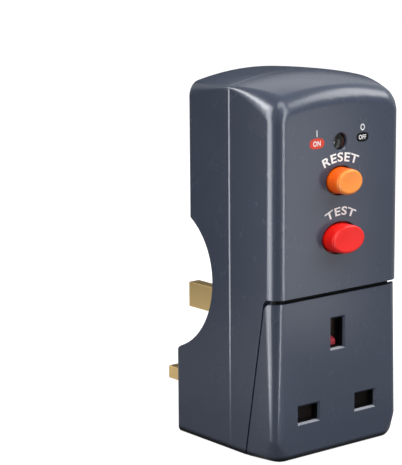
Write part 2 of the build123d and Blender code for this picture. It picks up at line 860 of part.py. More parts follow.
def make_lower_clip(x):
    """A contact for a lower pin: a blade above and one below it, joined behind."""
    gap = lower_pin_thick / 2 + seat_gap
    outer = gap + blade_thick
    clip = block(
        x - lower_blade_half, x + lower_blade_half, blade_front, lower_clip_rear,
        lower_pin_height - outer, lower_pin_height + outer)
    return clip - block(
        x - lower_blade_half - overrun, x + lower_blade_half + overrun, blade_front - overrun, lower_clip_end,
        lower_pin_height - gap, lower_pin_height + gap)


def make_earth_clip():
    """The earth contact: a blade on each side of the pin, joined behind."""
    gap = earth_pin_width / 2 + seat_gap
    outer = gap + blade_thick
    clip = block(
        -outer, outer, blade_front, earth_clip_rear,
        earth_pin_height - earth_blade_half, earth_pin_height + earth_blade_half)
    return clip - block(
        -gap, gap, blade_front - overrun, earth_clip_end,
        earth_pin_height - earth_blade_half - overrun, earth_pin_height + earth_blade_half + overrun)


def make_contact_carrier():
    """Moulding behind the shutter: a plate with a chamber round each contact."""
    lower_half = lower_pin_width / 2 + aperture_gap + chamber_wall
    lower_tall = lower_pin_thick / 2 + seat_gap + blade_thick + stop_gap + chamber_wall
    earth_half = earth_pin_width / 2 + seat_gap + blade_thick + stop_gap + chamber_wall
    earth_tall = earth_pin_tall / 2 + aperture_gap + chamber_wall
    carrier = block(-carrier_half, carrier_half, carrier_front, carrier_rear, carrier_low, carrier_top)
    for x in (-pin_x, pin_x):
        carrier += block(
            x - lower_half, x + lower_half, carrier_front, lower_clip_rear,
            lower_pin_height - lower_tall, lower_pin_height + lower_tall)
    carrier += block(
        -earth_half, earth_half, carrier_front, earth_clip_rear,
        earth_pin_height - earth_tall, earth_pin_height + earth_tall)
    for x in (-pin_x, pin_x):
        carrier -= block(
            x - lower_half + chamber_wall, x + lower_half - chamber_wall,
            carrier_front - overrun, lower_clip_rear + overrun,
            lower_pin_height - lower_tall + chamber_wall, lower_pin_height + lower_tall - chamber_wall)
    carrier -= block(
        -earth_half + chamber_wall, earth_half - chamber_wall,
        carrier_front - overrun, earth_clip_rear + overrun,
        earth_pin_height - earth_tall + chamber_wall, earth_pin_height + earth_tall - chamber_wall)
    for x in (-carrier_post_x, carrier_post_x):
        for z in (carrier_post_low, carrier_post_high):
            carrier -= rod_y(x, z, carrier_front - overrun, carrier_rear + overrun,
                             carrier_screw_radius + seat_gap)
    return carrier


def make_carrier_screws():
    """Four small screws that hold the moulding to the insert's posts."""
    screws = []
    for x in (-carrier_post_x, carrier_post_x):
        for z in (carrier_post_low, carrier_post_high):
            shank = rod_y(x, z, carrier_rear - carrier_screw_length, carrier_rear + seat_gap,
                          carrier_screw_radius)
            head = rod_y(x, z, carrier_rear, carrier_rear + carrier_screw_head_thick, carrier_screw_head)
            screws.append(shank + head)
    return Compound(children=screws)


def make_earth_bar():
    """Straight link from the earth pin's head to the earth contact."""
    half = earth_pin_width / 2 - seat_gap - least_round
    return block(-half, half, earth_clip_rear, pin_head_front,
                 earth_pin_height - half, earth_pin_height + half)


def bent_bar(points, half):
    """A square bar along straight runs that are parallel to the axes."""
    bar = None
    for first, second in zip(points, points[1:]):
        low = [min(a, b) - half for a, b in zip(first, second)]
        high = [max(a, b) + half for a, b in zip(first, second)]
        run = block(low[0], high[0], low[1], high[1], low[2], high[2])
        bar = run if bar is None else bar + run
    return bar


def make_supply_bar(side):
    """From a lower pin's head up through the transformer to the upper fixed contact."""
    x = side * pin_x
    inner = side * conductor_x
    contact_middle = contact_base_depth - bar_thick / 2
    bar = bent_bar([
        (x, pin_head_front - conductor_half, lower_pin_height),
        (x, conductor_depth, lower_pin_height),
        (inner, conductor_depth, lower_pin_height),
        (inner, conductor_depth, conductor_top),
        (x, conductor_depth, conductor_top),
        (x, contact_middle, conductor_top),
    ], conductor_half)
    bar -= block(x - strip_half, x + strip_half, contact_base_depth - bar_thick - conductor_half,
                 contact_base_depth - bar_thick,
                 conductor_top - 2 * conductor_half, conductor_top + 2 * conductor_half)
    plate = block(
        x - strip_half, x + strip_half, contact_base_depth - bar_thick, contact_base_depth,
        reset_height + tip_offset - 2 * tip_radius, conductor_top + conductor_half)
    return bar + plate


def make_load_bar(side):
    """From the lower fixed contact down to a lower socket contact."""
    x = side * pin_x
    jog_low = transformer_low + transformer_tall + tip_radius
    x0 = x - strip_half
    x1 = x + strip_half
    upper_front = contact_base_depth - bar_thick
    down = block(x0, x1, lower_clip_rear, lower_clip_rear + bar_thick,
                 lower_pin_height - strip_half, jog_low + bar_thick)
    across = block(x0, x1, min(lower_clip_rear, upper_front), max(lower_clip_rear, upper_front) + bar_thick,
                   jog_low, jog_low + bar_thick)
    up = block(x0, x1, upper_front, contact_base_depth, jog_low, reset_height - tip_offset + strip_half)
    return down + across + up


def make_tips(front):
    """Four round contact tips in front of a depth, at the ends of the two bridges."""
    tips = []
    for x in (-pin_x, pin_x):
        for z in (reset_height - tip_offset, reset_height + tip_offset):
            tips.append(rod_y(x, z, front, front + tip_thick, tip_radius))
    return Compound(children=tips)


# Shutter

def make_shutter():
    """Sliding plate that closes the lower apertures, with a sloped, round-topped nose in the earth aperture."""
    rear = shutter_front + shutter_thick
    plate = block(-shutter_half, shutter_half, shutter_front, rear, shutter_low, shutter_top)
    stem = block(-shutter_stem_half, shutter_stem_half, shutter_front, rear,
                 shutter_top - least_round, shutter_stem_top)
    nose_outline = make_face(Polyline(
        (shutter_front, shutter_stem_top - least_round),
        (rear, shutter_stem_top - least_round),
        (rear, shutter_nose_top),
        (rear - shutter_thick / 2, shutter_nose_top),
        (shutter_front, (shutter_stem_top + shutter_nose_top) / 2),
        close=True))
    nose = slab(side_plane(0) * nose_outline, -shutter_nose_half, shutter_nose_half)
    round_height = shutter_nose_top - shutter_nose_half
    rounded = rod_y(0, round_height, shutter_front - overrun, rear + overrun, shutter_nose_half)
    rounded += block(-shutter_nose_half, shutter_nose_half, shutter_front - overrun, rear + overrun,
                     shutter_top, round_height)
    return plate + stem + (nose & rounded)


def make_shutter_springs():
    """Sleeves for the two pull springs from the plate's top edge up to the insert's pegs."""
    middle = shutter_front + shutter_thick / 2
    radius = shutter_thick / 2
    low = shutter_top + seat_gap
    high = shutter_top + shutter_spring_length - seat_gap
    springs = []
    for x in (-shutter_spring_x, shutter_spring_x):
        spring = rod_z(x, middle, low, high, radius)
        springs.append(spring - rod_z(x, middle, low - overrun, high + overrun, radius - spring_wall / 2))
    return Compound(children=springs)


# Mechanism

def spring_sleeve(x, z, y0, y1, rod_radius):
    """A sleeve along Y that stands for a coil spring round a rod."""
    inner = rod_radius + spring_bore_gap
    sleeve = rod_y(x, z, y0 + seat_gap, y1 - seat_gap, inner + spring_wall)
    return sleeve - rod_y(x, z, y0 - overrun, y1 + overrun, inner)


def make_mechanism_frame():
    """Plate on four legs that guides both stems and carries the rods and the contact base."""
    frame = block(-frame_half, frame_half, frame_depth, frame_rear, frame_low, frame_shoulder)
    frame += block(-frame_upper_half, frame_upper_half, frame_depth, frame_rear,
                   frame_shoulder - least_round, frame_top)
    for x in (-frame_leg_x, frame_leg_x):
        for z in (frame_leg_low, frame_leg_high):
            frame += rod_y(x, z, wall, frame_rear, frame_leg_radius)
    for x in (-rear_leg_x, rear_leg_x):
        for z in (rear_leg_low, rear_leg_high):
            frame += rod_y(x, z, frame_depth, contact_base_depth, rear_leg_radius)
            frame -= rod_y(x, z, contact_base_rear - base_screw_length - stop_gap,
                           contact_base_depth + overrun, base_screw_radius + seat_gap)
    for x in (-guide_rod_x, guide_rod_x):
        frame += rod_y(x, reset_height, frame_depth, contact_base_depth, guide_rod_radius)
    for z in (reset_height, test_height):
        frame -= rod_y(0, z, frame_depth - overrun, frame_rear + overrun, stem_radius + guide_gap)
    frame -= rod_y((latch_left + latch_right) / 2, latch_pivot, frame_depth - overrun,
                   frame_rear + overrun, latch_pin_radius + seat_gap)
    return frame


def make_contact_base():
    """Insulating plate that backs the fixed contacts, screwed to the frame's rear legs."""
    base = block(-contact_base_half, contact_base_half, contact_base_depth, contact_base_rear,
                 contact_base_low, contact_base_top)
    for x in (-rear_leg_x, rear_leg_x):
        for z in (rear_leg_low, rear_leg_high):
            base -= rod_y(x, z, contact_base_depth - overrun, contact_base_rear + overrun,
                          base_screw_radius + seat_gap)
    return base


def make_base_screws():
    """Four screws through the contact base into the frame's rear legs."""
    screws = []
    for x in (-rear_leg_x, rear_leg_x):
        for z in (rear_leg_low, rear_leg_high):
            shank = rod_y(x, z, contact_base_rear - base_screw_length, contact_base_rear + seat_gap,
                          base_screw_radius)
            head = rod_y(x, z, contact_base_rear, contact_base_rear + base_screw_head_thick, base_screw_head)
            screws.append(shank + head)
    return Compound(children=screws)


def make_contact_carriage():
    """Bar on the two guide rods that carries the moving contacts, with a ledge for the latch."""
    low = reset_height - carriage_half_height
    high = reset_height + carriage_half_height
    carriage = block(-carriage_half, carriage_half, carriage_depth, carriage_rear, low, high)
    carriage += block(ledge_near, ledge_far, carriage_depth, carriage_depth + ledge_thick,
                      high - least_round, high + ledge_rise)
    for x in (-guide_rod_x, guide_rod_x):
        carriage -= rod_y(x, reset_height, carriage_depth - overrun, carriage_rear + overrun,
                          guide_rod_radius + guide_gap)
    return carriage


def make_moving_contact(side):
    """Copper bridge on the carriage's rear face."""
    x = side * pin_x
    return block(x - strip_half, x + strip_half, carriage_rear, carriage_rear + strip_thick,
                 reset_height - strip_half_height, reset_height + strip_half_height)


def make_button(height, half_x, half_z, proud, stem_end):
    """An oval button with a crowned face, a flange behind the cover and a round stem."""
    flange_rear = wall + stop_gap + button_flange_thick
    cap = oval(height, -proud, wall + stop_gap, half_x, half_z)
    front = cap.faces().sort_by(Axis.Y)[0]
    cap = fillet(front.edges(), button_crown)
    flange = oval(height, wall + stop_gap, flange_rear, half_x + button_flange, half_z + button_flange)
    stem = rod_y(0, height, flange_rear - least_round, stem_end, stem_radius)
    return cap + flange + stem


def make_test_terminals():
    """Two strips that the test contact bridges, bent back to the contact base."""
    front = frame_rear + test_disc_thick + test_travel + 2 * stop_gap + seat_gap + frame_plate_thick
    strips = []
    for side in (-1, 1):
        x0, x1 = sorted([side * test_strip_inner, side * test_strip_outer])
        strip = block(x0, x1, front, front + test_strip_thick, test_strip_low, test_strip_top)
        strip += block(x0, x1, front, contact_base_depth, test_strip_top - test_strip_thick, test_strip_top)
        strips.append(strip)
    return Compound(children=strips)


def make_test_contact():
    """Metal disc on the end of the test button's stem."""
    front = frame_rear + frame_plate_thick
    return rod_y(0, test_height, front, front + test_disc_thick, test_disc_radius)


# Trip coil and latch

def make_coil_bobbin():
    """Spool on which the trip coil is wound."""
    outer = bobbin_bore + bobbin_wall
    bobbin = rod_x(coil_depth, coil_height, coil_left, coil_right, outer)
    bobbin += rod_x(coil_depth, coil_height, coil_left, coil_left + bobbin_flange_thick, bobbin_flange_radius)
    bobbin += rod_x(coil_depth, coil_height, coil_right - bobbin_flange_thick, coil_right,
                    bobbin_flange_radius)
    return bobbin - rod_x(coil_depth, coil_height, coil_left - overrun, coil_right + overrun, bobbin_bore)


def make_coil_winding():
    """The wire's block between the spool's flanges."""
    left = coil_left + bobbin_flange_thick
    right = coil_right - bobbin_flange_thick
    winding = rod_x(coil_depth, coil_height, left, right, bobbin_flange_radius - bobbin_wall / 2)
    return winding - rod_x(coil_depth, coil_height, left - overrun, right + overrun,
                           bobbin_bore + bobbin_wall)


def make_coil_yoke():
    """Steel bracket on the frame plate, with an end plate at each end of the spool."""
    low = coil_height - yoke_half
    high = coil_height + yoke_half
    far = coil_depth + bobbin_flange_radius
    yoke = block(coil_left - yoke_thick, coil_right + yoke_thick, frame_rear, frame_rear + yoke_thick,
                 low, high)
    yoke += block(coil_left - yoke_thick, coil_left, frame_rear, far, low, high)
    yoke += block(coil_right, coil_right + yoke_thick, frame_rear, far, low, high)
    return yoke - rod_x(coil_depth, coil_height, coil_right - overrun, coil_right + 2 * overrun, bobbin_bore)


def make_trip_plunger():
    """Plunger in the spool's bore with a collar for its spring."""
    plunger = rod_x(coil_depth, coil_height, plunger_left, plunger_right, plunger_radius)
    return plunger + rod_x(coil_depth, coil_height, plunger_right - plunger_collar_thick, plunger_right,
                           plunger_collar_radius)


def make_plunger_spring():
    """Sleeve for the spring between the yoke and the plunger's collar."""
    start = coil_right + yoke_thick + seat_gap
    end = plunger_right - plunger_collar_thick - seat_gap
    inner = plunger_radius + spring_bore_gap
    sleeve = rod_x(coil_depth, coil_height, start, end, inner + spring_wall)
    return sleeve - rod_x(coil_depth, coil_height, start - overrun, end + overrun, inner)


def make_latch_lever():
    """Lever that the plunger tips away from the carriage's ledge."""
    lever = block(latch_left, latch_right, latch_front, latch_front + latch_thick, latch_low, latch_top)
    return lever - rod_y((latch_left + latch_right) / 2, latch_pivot, latch_front - overrun,
                         latch_front + latch_thick + overrun, latch_pin_radius + guide_gap)


def make_latch_pin():
    """Pivot of the latch lever, held in the frame plate."""
    return rod_y((latch_left + latch_right) / 2, latch_pivot, frame_depth,
                 latch_front + latch_thick + latch_pin_radius, latch_pin_radius)


# Transformer

def make_transformer_core():
    """Ring core inside the winding."""
    low = transformer_low + winding_wall
    high = transformer_low + transformer_tall - winding_wall
    core = rod_z(0, conductor_depth, low, high, transformer_radius - winding_wall)
    return core - rod_z(0, conductor_depth, low - overrun, high + overrun, transformer_bore + winding_wall)


def make_transformer_winding():
    """Winding all round the ring core."""
    high = transformer_low + transformer_tall
    ring = rod_z(0, conductor_depth, transformer_low, high, transformer_radius)
    ring -= rod_z(0, conductor_depth, transformer_low - overrun, high + overrun, transformer_bore)
    return ring - make_transformer_core()


# Indicator

def flag_sector(front, thick, first_angle, last_angle):
    """A ring sector below the pivot between two angles from straight down."""
    def place(radius, angle):
        turn = angle * pi / 180
        return (radius * sin(turn), flag_pivot - radius * cos(turn))

    middle = (first_angle + last_angle) / 2
    outer = [place(flag_outer, angle) for angle in (first_angle, middle, last_angle)]
    inner = [place(flag_inner, angle) for angle in (last_angle, middle, first_angle)]
    edges = [
        ThreePointArc(*outer),
        Line(outer[-1], inner[0]),
        ThreePointArc(*inner),
        Line(inner[-1], outer[0]),
    ]
    return extrude(front_plane(front) * make_face(edges), amount=-thick)


def make_indicator_flag():
    """Dark flag on its pivot, with a sector that carries the coloured marker."""
    rear = flag_front + flag_thick
    flag = rod_y(0, flag_pivot, wall + flag_boss_length + stop_gap, rear, flag_hub_radius)
    flag += block(-flag_arm_half, flag_arm_half, flag_front, rear,
                  flag_pivot - flag_inner - flag_arm_half, flag_pivot)
    flag += flag_sector(flag_front, flag_thick, flag_dark_angle, flag_end_angle)
    return flag - rod_y(0, flag_pivot, wall, rear + overrun, flag_pin_radius + guide_gap)


def make_flag_marker():
    """Coloured sector on the front of the flag."""
    return flag_sector(flag_front - flag_marker_thick, flag_marker_thick, flag_colour_angle, flag_end_angle)


def make_flag_pin():
    """Pivot of the flag, held in the front cover's boss."""
    return rod_y(0, flag_pivot, wall, flag_front + flag_thick + flag_pin_radius, flag_pin_radius)


def make_indicator_window():
    """Clear stepped disc in the front cover."""
    window = rod_y(0, window_height, window_recess, wall, window_radius)
    return window + rod_y(0, window_height, wall, wall + window_flange_thick, window_radius + window_flange)


# Circuit board

def make_board_parts():
    """The board and what is soldered to its front face, by name."""
    face = board_depth
    parts = {}
    parts["circuit_board"] = block(-board_half, board_half, face, face + board_thick, board_low, board_top)
    parts["detector_chip"] = block(chip_near, chip_far, face - chip_thick, face,
                                   chip_low, chip_low + chip_tall)
    parts["varistor"] = rod_y(varistor_x, varistor_height, face - varistor_thick, face, varistor_radius)
    parts["thyristor"] = block(-thyristor_far, -thyristor_near, face - thyristor_thick, face,
                               thyristor_low, thyristor_low + thyristor_tall)
    parts["capacitors"] = Compound(children=[
        rod_y(-capacitor_x, capacitor_low + i * capacitor_pitch,
              face - capacitor_tall, face, capacitor_radius)
        for i in range(capacitor_count)])
    parts["resistors"] = Compound(children=[
        rod_x(face - resistor_radius, resistor_low + i * resistor_pitch,
              resistor_near, resistor_far, resistor_radius)
        for i in range(resistor_count)])
    parts["diodes"] = Compound(children=[
        rod_x(face - diode_radius, diode_low + i * diode_pitch, -resistor_far, -resistor_near, diode_radius)
        for i in range(diode_count)])
    return parts


def make_all():
    """Every piece by its name."""
    flange_rear = wall + stop_gap + button_flange_thick
    parts = {
        "rear_housing": make_rear_housing(),
        "front_cover": make_front_cover(),
        "socket_front": make_socket_front(),
        "housing_screws": make_housing_screws(),
        "line_pin": make_lower_pin(pin_x),
        "neutral_pin": make_lower_pin(-pin_x),
        "earth_pin": make_earth_pin(),
        "line_pin_sleeve": make_pin_sleeve(pin_x),
        "neutral_pin_sleeve": make_pin_sleeve(-pin_x),
        "line_socket_contact": make_lower_clip(pin_x),
        "neutral_socket_contact": make_lower_clip(-pin_x),
        "earth_socket_contact": make_earth_clip(),
        "contact_carrier": make_contact_carrier(),
        "carrier_screws": make_carrier_screws(),
        "earth_bar": make_earth_bar(),
        "line_supply_bar": make_supply_bar(1),
        "neutral_supply_bar": make_supply_bar(-1),
        "line_load_bar": make_load_bar(1),
        "neutral_load_bar": make_load_bar(-1),
        "fixed_contact_tips": make_tips(fixed_tip_front),
        "moving_contact_tips": make_tips(moving_tip_front),
        "line_moving_contact": make_moving_contact(1),
        "neutral_moving_contact": make_moving_contact(-1),
        "shutter": make_shutter(),
        "shutter_springs": make_shutter_springs(),
        "mechanism_frame": make_mechanism_frame(),
        "contact_base": make_contact_base(),
        "base_screws": make_base_screws(),
        "contact_carriage": make_contact_carriage(),
        "reset_button": make_button(
            reset_height, reset_half_width, reset_half_height, reset_proud, carriage_depth - seat_gap),
        "test_button": make_button(
            test_height, test_half_width, test_half_height, test_proud, frame_rear + frame_plate_thick),
        "reset_spring": spring_sleeve(0, reset_height, flange_rear, frame_depth, stem_radius),
        "test_spring": spring_sleeve(0, test_height, flange_rear, frame_depth, stem_radius),
        "carriage_springs": Compound(children=[
            spring_sleeve(x, reset_height, carriage_rear, contact_base_depth, guide_rod_radius)
            for x in (-guide_rod_x, guide_rod_x)]),
        "test_contact": make_test_contact(),
        "test_terminals": make_test_terminals(),
        "coil_bobbin": make_coil_bobbin(),
        "coil_winding": make_coil_winding(),
        "coil_yoke": make_coil_yoke(),
        "trip_plunger": make_trip_plunger(),
        "plunger_spring": make_plunger_spring(),
        "latch_lever": make_latch_lever(),
        "latch_pin": make_latch_pin(),
        "transformer_core": make_transformer_core(),
        "transformer_winding": make_transformer_winding(),
        "indicator_flag": make_indicator_flag(),
        "flag_marker": make_flag_marker(),
        "flag_pin": make_flag_pin(),
        "indicator_window": make_indicator_window(),
    }
    parts.update(make_board_parts())
    return parts


def main():
    """Build every piece and write it."""
    os.makedirs("parts", exist_ok=True)
    for name, shape in make_all().items():
        save(name, shape)


main()
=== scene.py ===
"""The look of a plug-in residual current adapter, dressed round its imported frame.

The row frame has its origin on the plug face, X to the right seen from the front, Y out of the
plug face along the pins and Z up. Lengths are written in millimetres and turned to metres by MM.
"""
import json
from math import cos, pi, radians, sin, tau

import bmesh
import bpy
import numpy as np
from mathutils import Matrix, Vector

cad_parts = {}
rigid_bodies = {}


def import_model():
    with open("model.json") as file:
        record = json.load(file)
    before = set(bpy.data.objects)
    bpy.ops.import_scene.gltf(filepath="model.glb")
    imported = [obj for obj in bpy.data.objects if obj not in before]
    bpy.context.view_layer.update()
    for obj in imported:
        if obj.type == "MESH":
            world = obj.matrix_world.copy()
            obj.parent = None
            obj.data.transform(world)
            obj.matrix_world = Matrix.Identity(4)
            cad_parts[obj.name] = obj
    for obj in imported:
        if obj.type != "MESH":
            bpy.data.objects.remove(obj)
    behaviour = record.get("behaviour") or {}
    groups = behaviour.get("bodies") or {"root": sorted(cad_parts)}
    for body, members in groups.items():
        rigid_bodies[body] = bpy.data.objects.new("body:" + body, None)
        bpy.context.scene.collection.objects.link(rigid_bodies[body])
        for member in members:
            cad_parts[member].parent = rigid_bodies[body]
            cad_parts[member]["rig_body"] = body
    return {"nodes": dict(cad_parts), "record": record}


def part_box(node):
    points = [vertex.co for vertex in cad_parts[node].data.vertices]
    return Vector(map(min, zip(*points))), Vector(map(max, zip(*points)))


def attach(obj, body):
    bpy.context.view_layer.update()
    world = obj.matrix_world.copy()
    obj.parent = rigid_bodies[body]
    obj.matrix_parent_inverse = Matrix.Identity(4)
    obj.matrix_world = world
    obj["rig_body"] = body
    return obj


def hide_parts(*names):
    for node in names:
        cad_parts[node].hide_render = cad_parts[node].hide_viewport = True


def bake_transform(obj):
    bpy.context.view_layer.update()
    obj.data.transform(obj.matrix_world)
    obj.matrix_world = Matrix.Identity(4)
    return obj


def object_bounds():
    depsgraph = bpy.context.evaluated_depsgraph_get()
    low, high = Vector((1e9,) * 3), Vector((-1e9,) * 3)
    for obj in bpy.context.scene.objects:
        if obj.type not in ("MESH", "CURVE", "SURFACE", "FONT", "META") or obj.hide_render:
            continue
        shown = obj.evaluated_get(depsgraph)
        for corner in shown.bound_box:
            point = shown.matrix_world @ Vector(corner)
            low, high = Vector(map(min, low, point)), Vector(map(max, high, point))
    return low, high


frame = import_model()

cad_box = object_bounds()
MM = 0.001

# Camera, fitted to the photograph, with its place in the row frame
IMAGE_WIDE = 402
IMAGE_TALL = 465
FOCAL_PIXELS = 1874.391
CAMERA_PLACE = (-359.368, -434.924, 145.233)
CAMERA_YAW = 38.4285
CAMERA_PITCH = 11.1531
CAMERA_ROLL = -0.4507
SENSOR = 36.0
CAMERA_CLIP = 10

# The case's front face, foot and left side
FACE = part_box("front_cover")[0].y / MM
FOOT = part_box("rear_housing")[0].z / MM
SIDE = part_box("front_cover")[0].x / MM

# Merging of doubled points, the angle up to which neighbouring flat faces are joined, and the
# angles over which an edge is kept crisp, for new meshes and for copies of the CAD's
MERGE = 1e-4
MERGE_CAD = 2e-3
FLAT_ANGLE = 0.6
CRISP_NEW = 35.0
CRISP_CAD = 32.0

# Insert: its upright corners, narrowed between rings above the foot, and its apertures, each given
# by its middle's X and height above the foot and by its half width and half height
CORNER_ROUND = 4.1
ROUND_AT_STEP = 4.1
ROUND_AT_FOOT = 2.0
FOOT_KEPT = 3.6
FOOT_BLEND = 3.5
FOOT_RINGS = (0, 0.3, 0.65, 1)
ARC_NEAR = 0.12
ARC_SLACK = 0.01
STEP_HIGH = 48.26
INSERT_TOP = 47.2
APERTURE_RIM = 0.6
APERTURE_ROUND = 0.3
APERTURES = ((11.11, 13.3, 3.75, 2.35), (-11.11, 13.3, 3.75, 2.35), (0.0, 35.52, 2.35, 4.35))

# The eased edge along the seam
SEAM_LONG = 0.6
SEAM_DEEP = 0.19
SEAM_NEAR = 0.15
SEAM_BAND = 1.2
DOME_EDGE = 52.0

# Bevels of the dressed CAD pieces, and the height of the shutter's nose
SHELL_BEVEL = 0.3
COVER_BEVEL = 0.16
PIN_BEVEL = 0.15
SLEEVE_BEVEL = 0.12
SCREW_BEVEL = 0.08
SHUTTER_BEVEL = 0.2
BEVEL_STEPS = 2
NOSE_TALL = 2.9

# Noise in the materials in cells a metre: the grain and cloud of plastic, and the tarnish and draw
# lines of metal, whose pattern is stretched along the pins
NOISE_LOW = 0.3
NOISE_HIGH = 0.7
GRAIN = 2600.0
CLOUD = 60.0
GLOSS_CHANGE = 0.006
TARNISH = 0.94
TARNISH_CLOUD = 140.0
DRAW_LINES = 2400.0
DRAW_STRETCH = (1, 0.08, 1)
DRAW_DEPTH = 0.0015
DRAW_SMOOTHER = 0.02
DRAW_ROUGHER = 0.03

# Painted shadow at the case's foot, between two heights above it
FOOT_DARK = 1.1
FOOT_CLEAR = 2.2
FOOT_SHADOW_COLOUR = (0.006, 0.007, 0.010)
FOOT_SPECULAR = 0.03
CASE_SPECULAR = 0.25

# Buttons
AROUND = 144
FACE_RINGS = 14
ROUND_RINGS = 10
FLANGE_LIP = 0.8
FLANGE_FRONT = 2.1
FLANGE_THICK = 1.2
CAP_DRAFT = 0.14
CAP_ROUND = 0.85
CAP_DISH = 0.16
STEM_RADIUS = 2.0
COLOUR_DEPTH = 1.4
# The face colours are lighter copies of the side colours: painted light on the buttons' faces
ORANGE_LIT_FACE = (0.95, 0.28, 0.030)
ORANGE_SIDE = (0.96, 0.125, 0.005)
RED_LIT_FACE = (0.88, 0.010, 0.007)
RED_SIDE = (0.76, 0.010, 0.006)

# Window, and the tube behind it
LENS_RIM = 0.18
LENS_DOME = 0.4
LENS_STEP = 2.0
LENS_RINGS = 12
RIM_RINGS = 6
SHROUD_INNER = 1.1
SHROUD_OUTER = 2.6
SHROUD_GAP = 0.02
SHROUD_CLEAR = 0.12

# Springs: a direction by its place in a corner, and an end by its place in a box
ALONG_X = 0
ALONG_Y = 1
ALONG_Z = 2
LOW_END = 0
HIGH_END = 1
COIL_STEPS = 24
WIRE_SIDES = 10

# The printed marks on the front face: middles are X and height above the foot
PRINT_THICK = 0.03
RESET_ARC = {"word": "RESET", "middle": 0.0, "base": 85.85, "radius": 14.4, "tall": 2.65, "wide": 12.7}
TEST_ARC = {"word": "TEST", "middle": 0.15, "base": 70.3, "radius": 9.4, "tall": 2.5, "wide": 10.3}
ON_PILL = {"x": -9.07, "z": 91.85, "half_x": 2.75, "half_z": 1.5, "word": "ON", "tall": 1.55}
OFF_PILL = {"x": 8.5, "z": 92.15, "half_x": 2.3, "half_z": 1.35, "word": "OFF", "tall": 1.35}
PILL_POWER = 2.8
PILL_FRONT = 0.6
PILL_REAR = 0.5
MARK_RISE = 2.85
MARK_TALL = 1.9
WORD_BOLD = 0.022
MARK_BOLD = 0.012
HALF_LAYER = 0.5
LETTER_SMOOTH = 6
LETTER_SPACE = 1.12
LETTER_WIDE = 1.15

# Floor, cards and background light
WORLD_COLOUR = (0.97, 0.98, 1.0)
WORLD_LIGHT = 0.24
FLOOR_HALF = 3000
FLOOR_COLOUR = (0.3, 0.3, 0.3)
FLOOR_GLOW = 0.92
FLOOR_GLOSSY = 0.416
CARD_COLOUR = (0.02, 0.02, 0.02)
REAR_CARD = {"middle": (320, 380), "along": (266, -224), "near_top": 520, "far_top": 100, "glow": 0.0}
SIDE_CARD = {"middle": (-120, 96), "along": (54, 44.5), "near_top": 125, "far_top": 125, "glow": 0.05}
# The foot card is a painted shadow of the floor, seen only in the low edges' reflections
FOOT_CARD_WIDER = 25
FOOT_CARD_RISE = 0.05
FOOT_CARD_GLOW = 0.4

# What the lamps point at
MIDDLE = (0, FACE / 2, 25)
EDGE = (SIDE, FACE, FOOT + 130)
SHOULDER = (SIDE + 2, -30, FOOT + 100)
REAR_EDGE = (SIDE, -20, FOOT + 50)
LOW_EDGE = (SIDE, FACE, FOOT + 11)
FACE_LEFT = (SIDE, FACE, FOOT + 52)
BROW = (0, FACE, FOOT + 100)


# Meshes

def finish_mesh(name, vertices, faces, body, material):
    """A piece from points in metres: smooth shaded, with edges over a set angle kept crisp. A piece
    without a body is not attached to one."""
    mesh = bpy.data.meshes.new(name)
    mesh.from_pydata(vertices.tolist(), [], faces.tolist())
    work = bmesh.new()
    work.from_mesh(mesh)
    bmesh.ops.remove_doubles(work, verts=work.verts, dist=MERGE * MM)
    bmesh.ops.recalc_face_normals(work, faces=work.faces)
    work.to_mesh(mesh)
    work.free()
    mesh.polygons.foreach_set("use_smooth", [True] * len(mesh.polygons))
    mesh.set_sharp_from_angle(angle=radians(CRISP_NEW))
    mesh.materials.append(material)
    piece = bpy.data.objects.new(name, mesh)
    bpy.context.scene.collection.objects.link(piece)
    if body:
        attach(piece, body)
    return piece


def grid_faces(rows, columns):
    """Quads between neighbouring points of a grid whose rows close on themselves."""
    row = np.arange(rows - 1)[:, None]
    column = np.arange(columns)[None, :]
    beside = (column + 1) % columns
    corners = [row * columns + column, row * columns + beside,
               (row + 1) * columns + beside, (row + 1) * columns + column]
    return np.stack([np.broadcast_to(c, (rows - 1, column.size)) for c in corners], -1).reshape(-1, 4)


def oval_sweep(name, centre, half_x, half_z, depth, body, material, power=2.0):
    """Rings carried along a profile: ring i is the superellipse |x/a|^p + |z/b|^p = 1 with
    a = half_x[i] and b = half_z[i], at the depth y = depth[i]; its points are a·cos^(2/p) and
    b·sin^(2/p) with the signs of cos and sin. Rings of size zero close the two ends."""
    turn = np.linspace(0, tau, AROUND, endpoint=False)
    across = np.sign(np.cos(turn)) * np.abs(np.cos(turn)) ** (2 / power)
    up = np.sign(np.sin(turn)) * np.abs(np.sin(turn)) ** (2 / power)
    points = np.empty((len(depth), AROUND, 3))
    points[..., 0] = centre[0] + np.outer(half_x, across)
    points[..., 1] = np.asarray(depth)[:, None]
    points[..., 2] = centre[1] + np.outer(half_z, up)
    faces = grid_faces(len(depth), AROUND)
    return finish_mesh(name, points.reshape(-1, 3) * MM, faces, body, material)


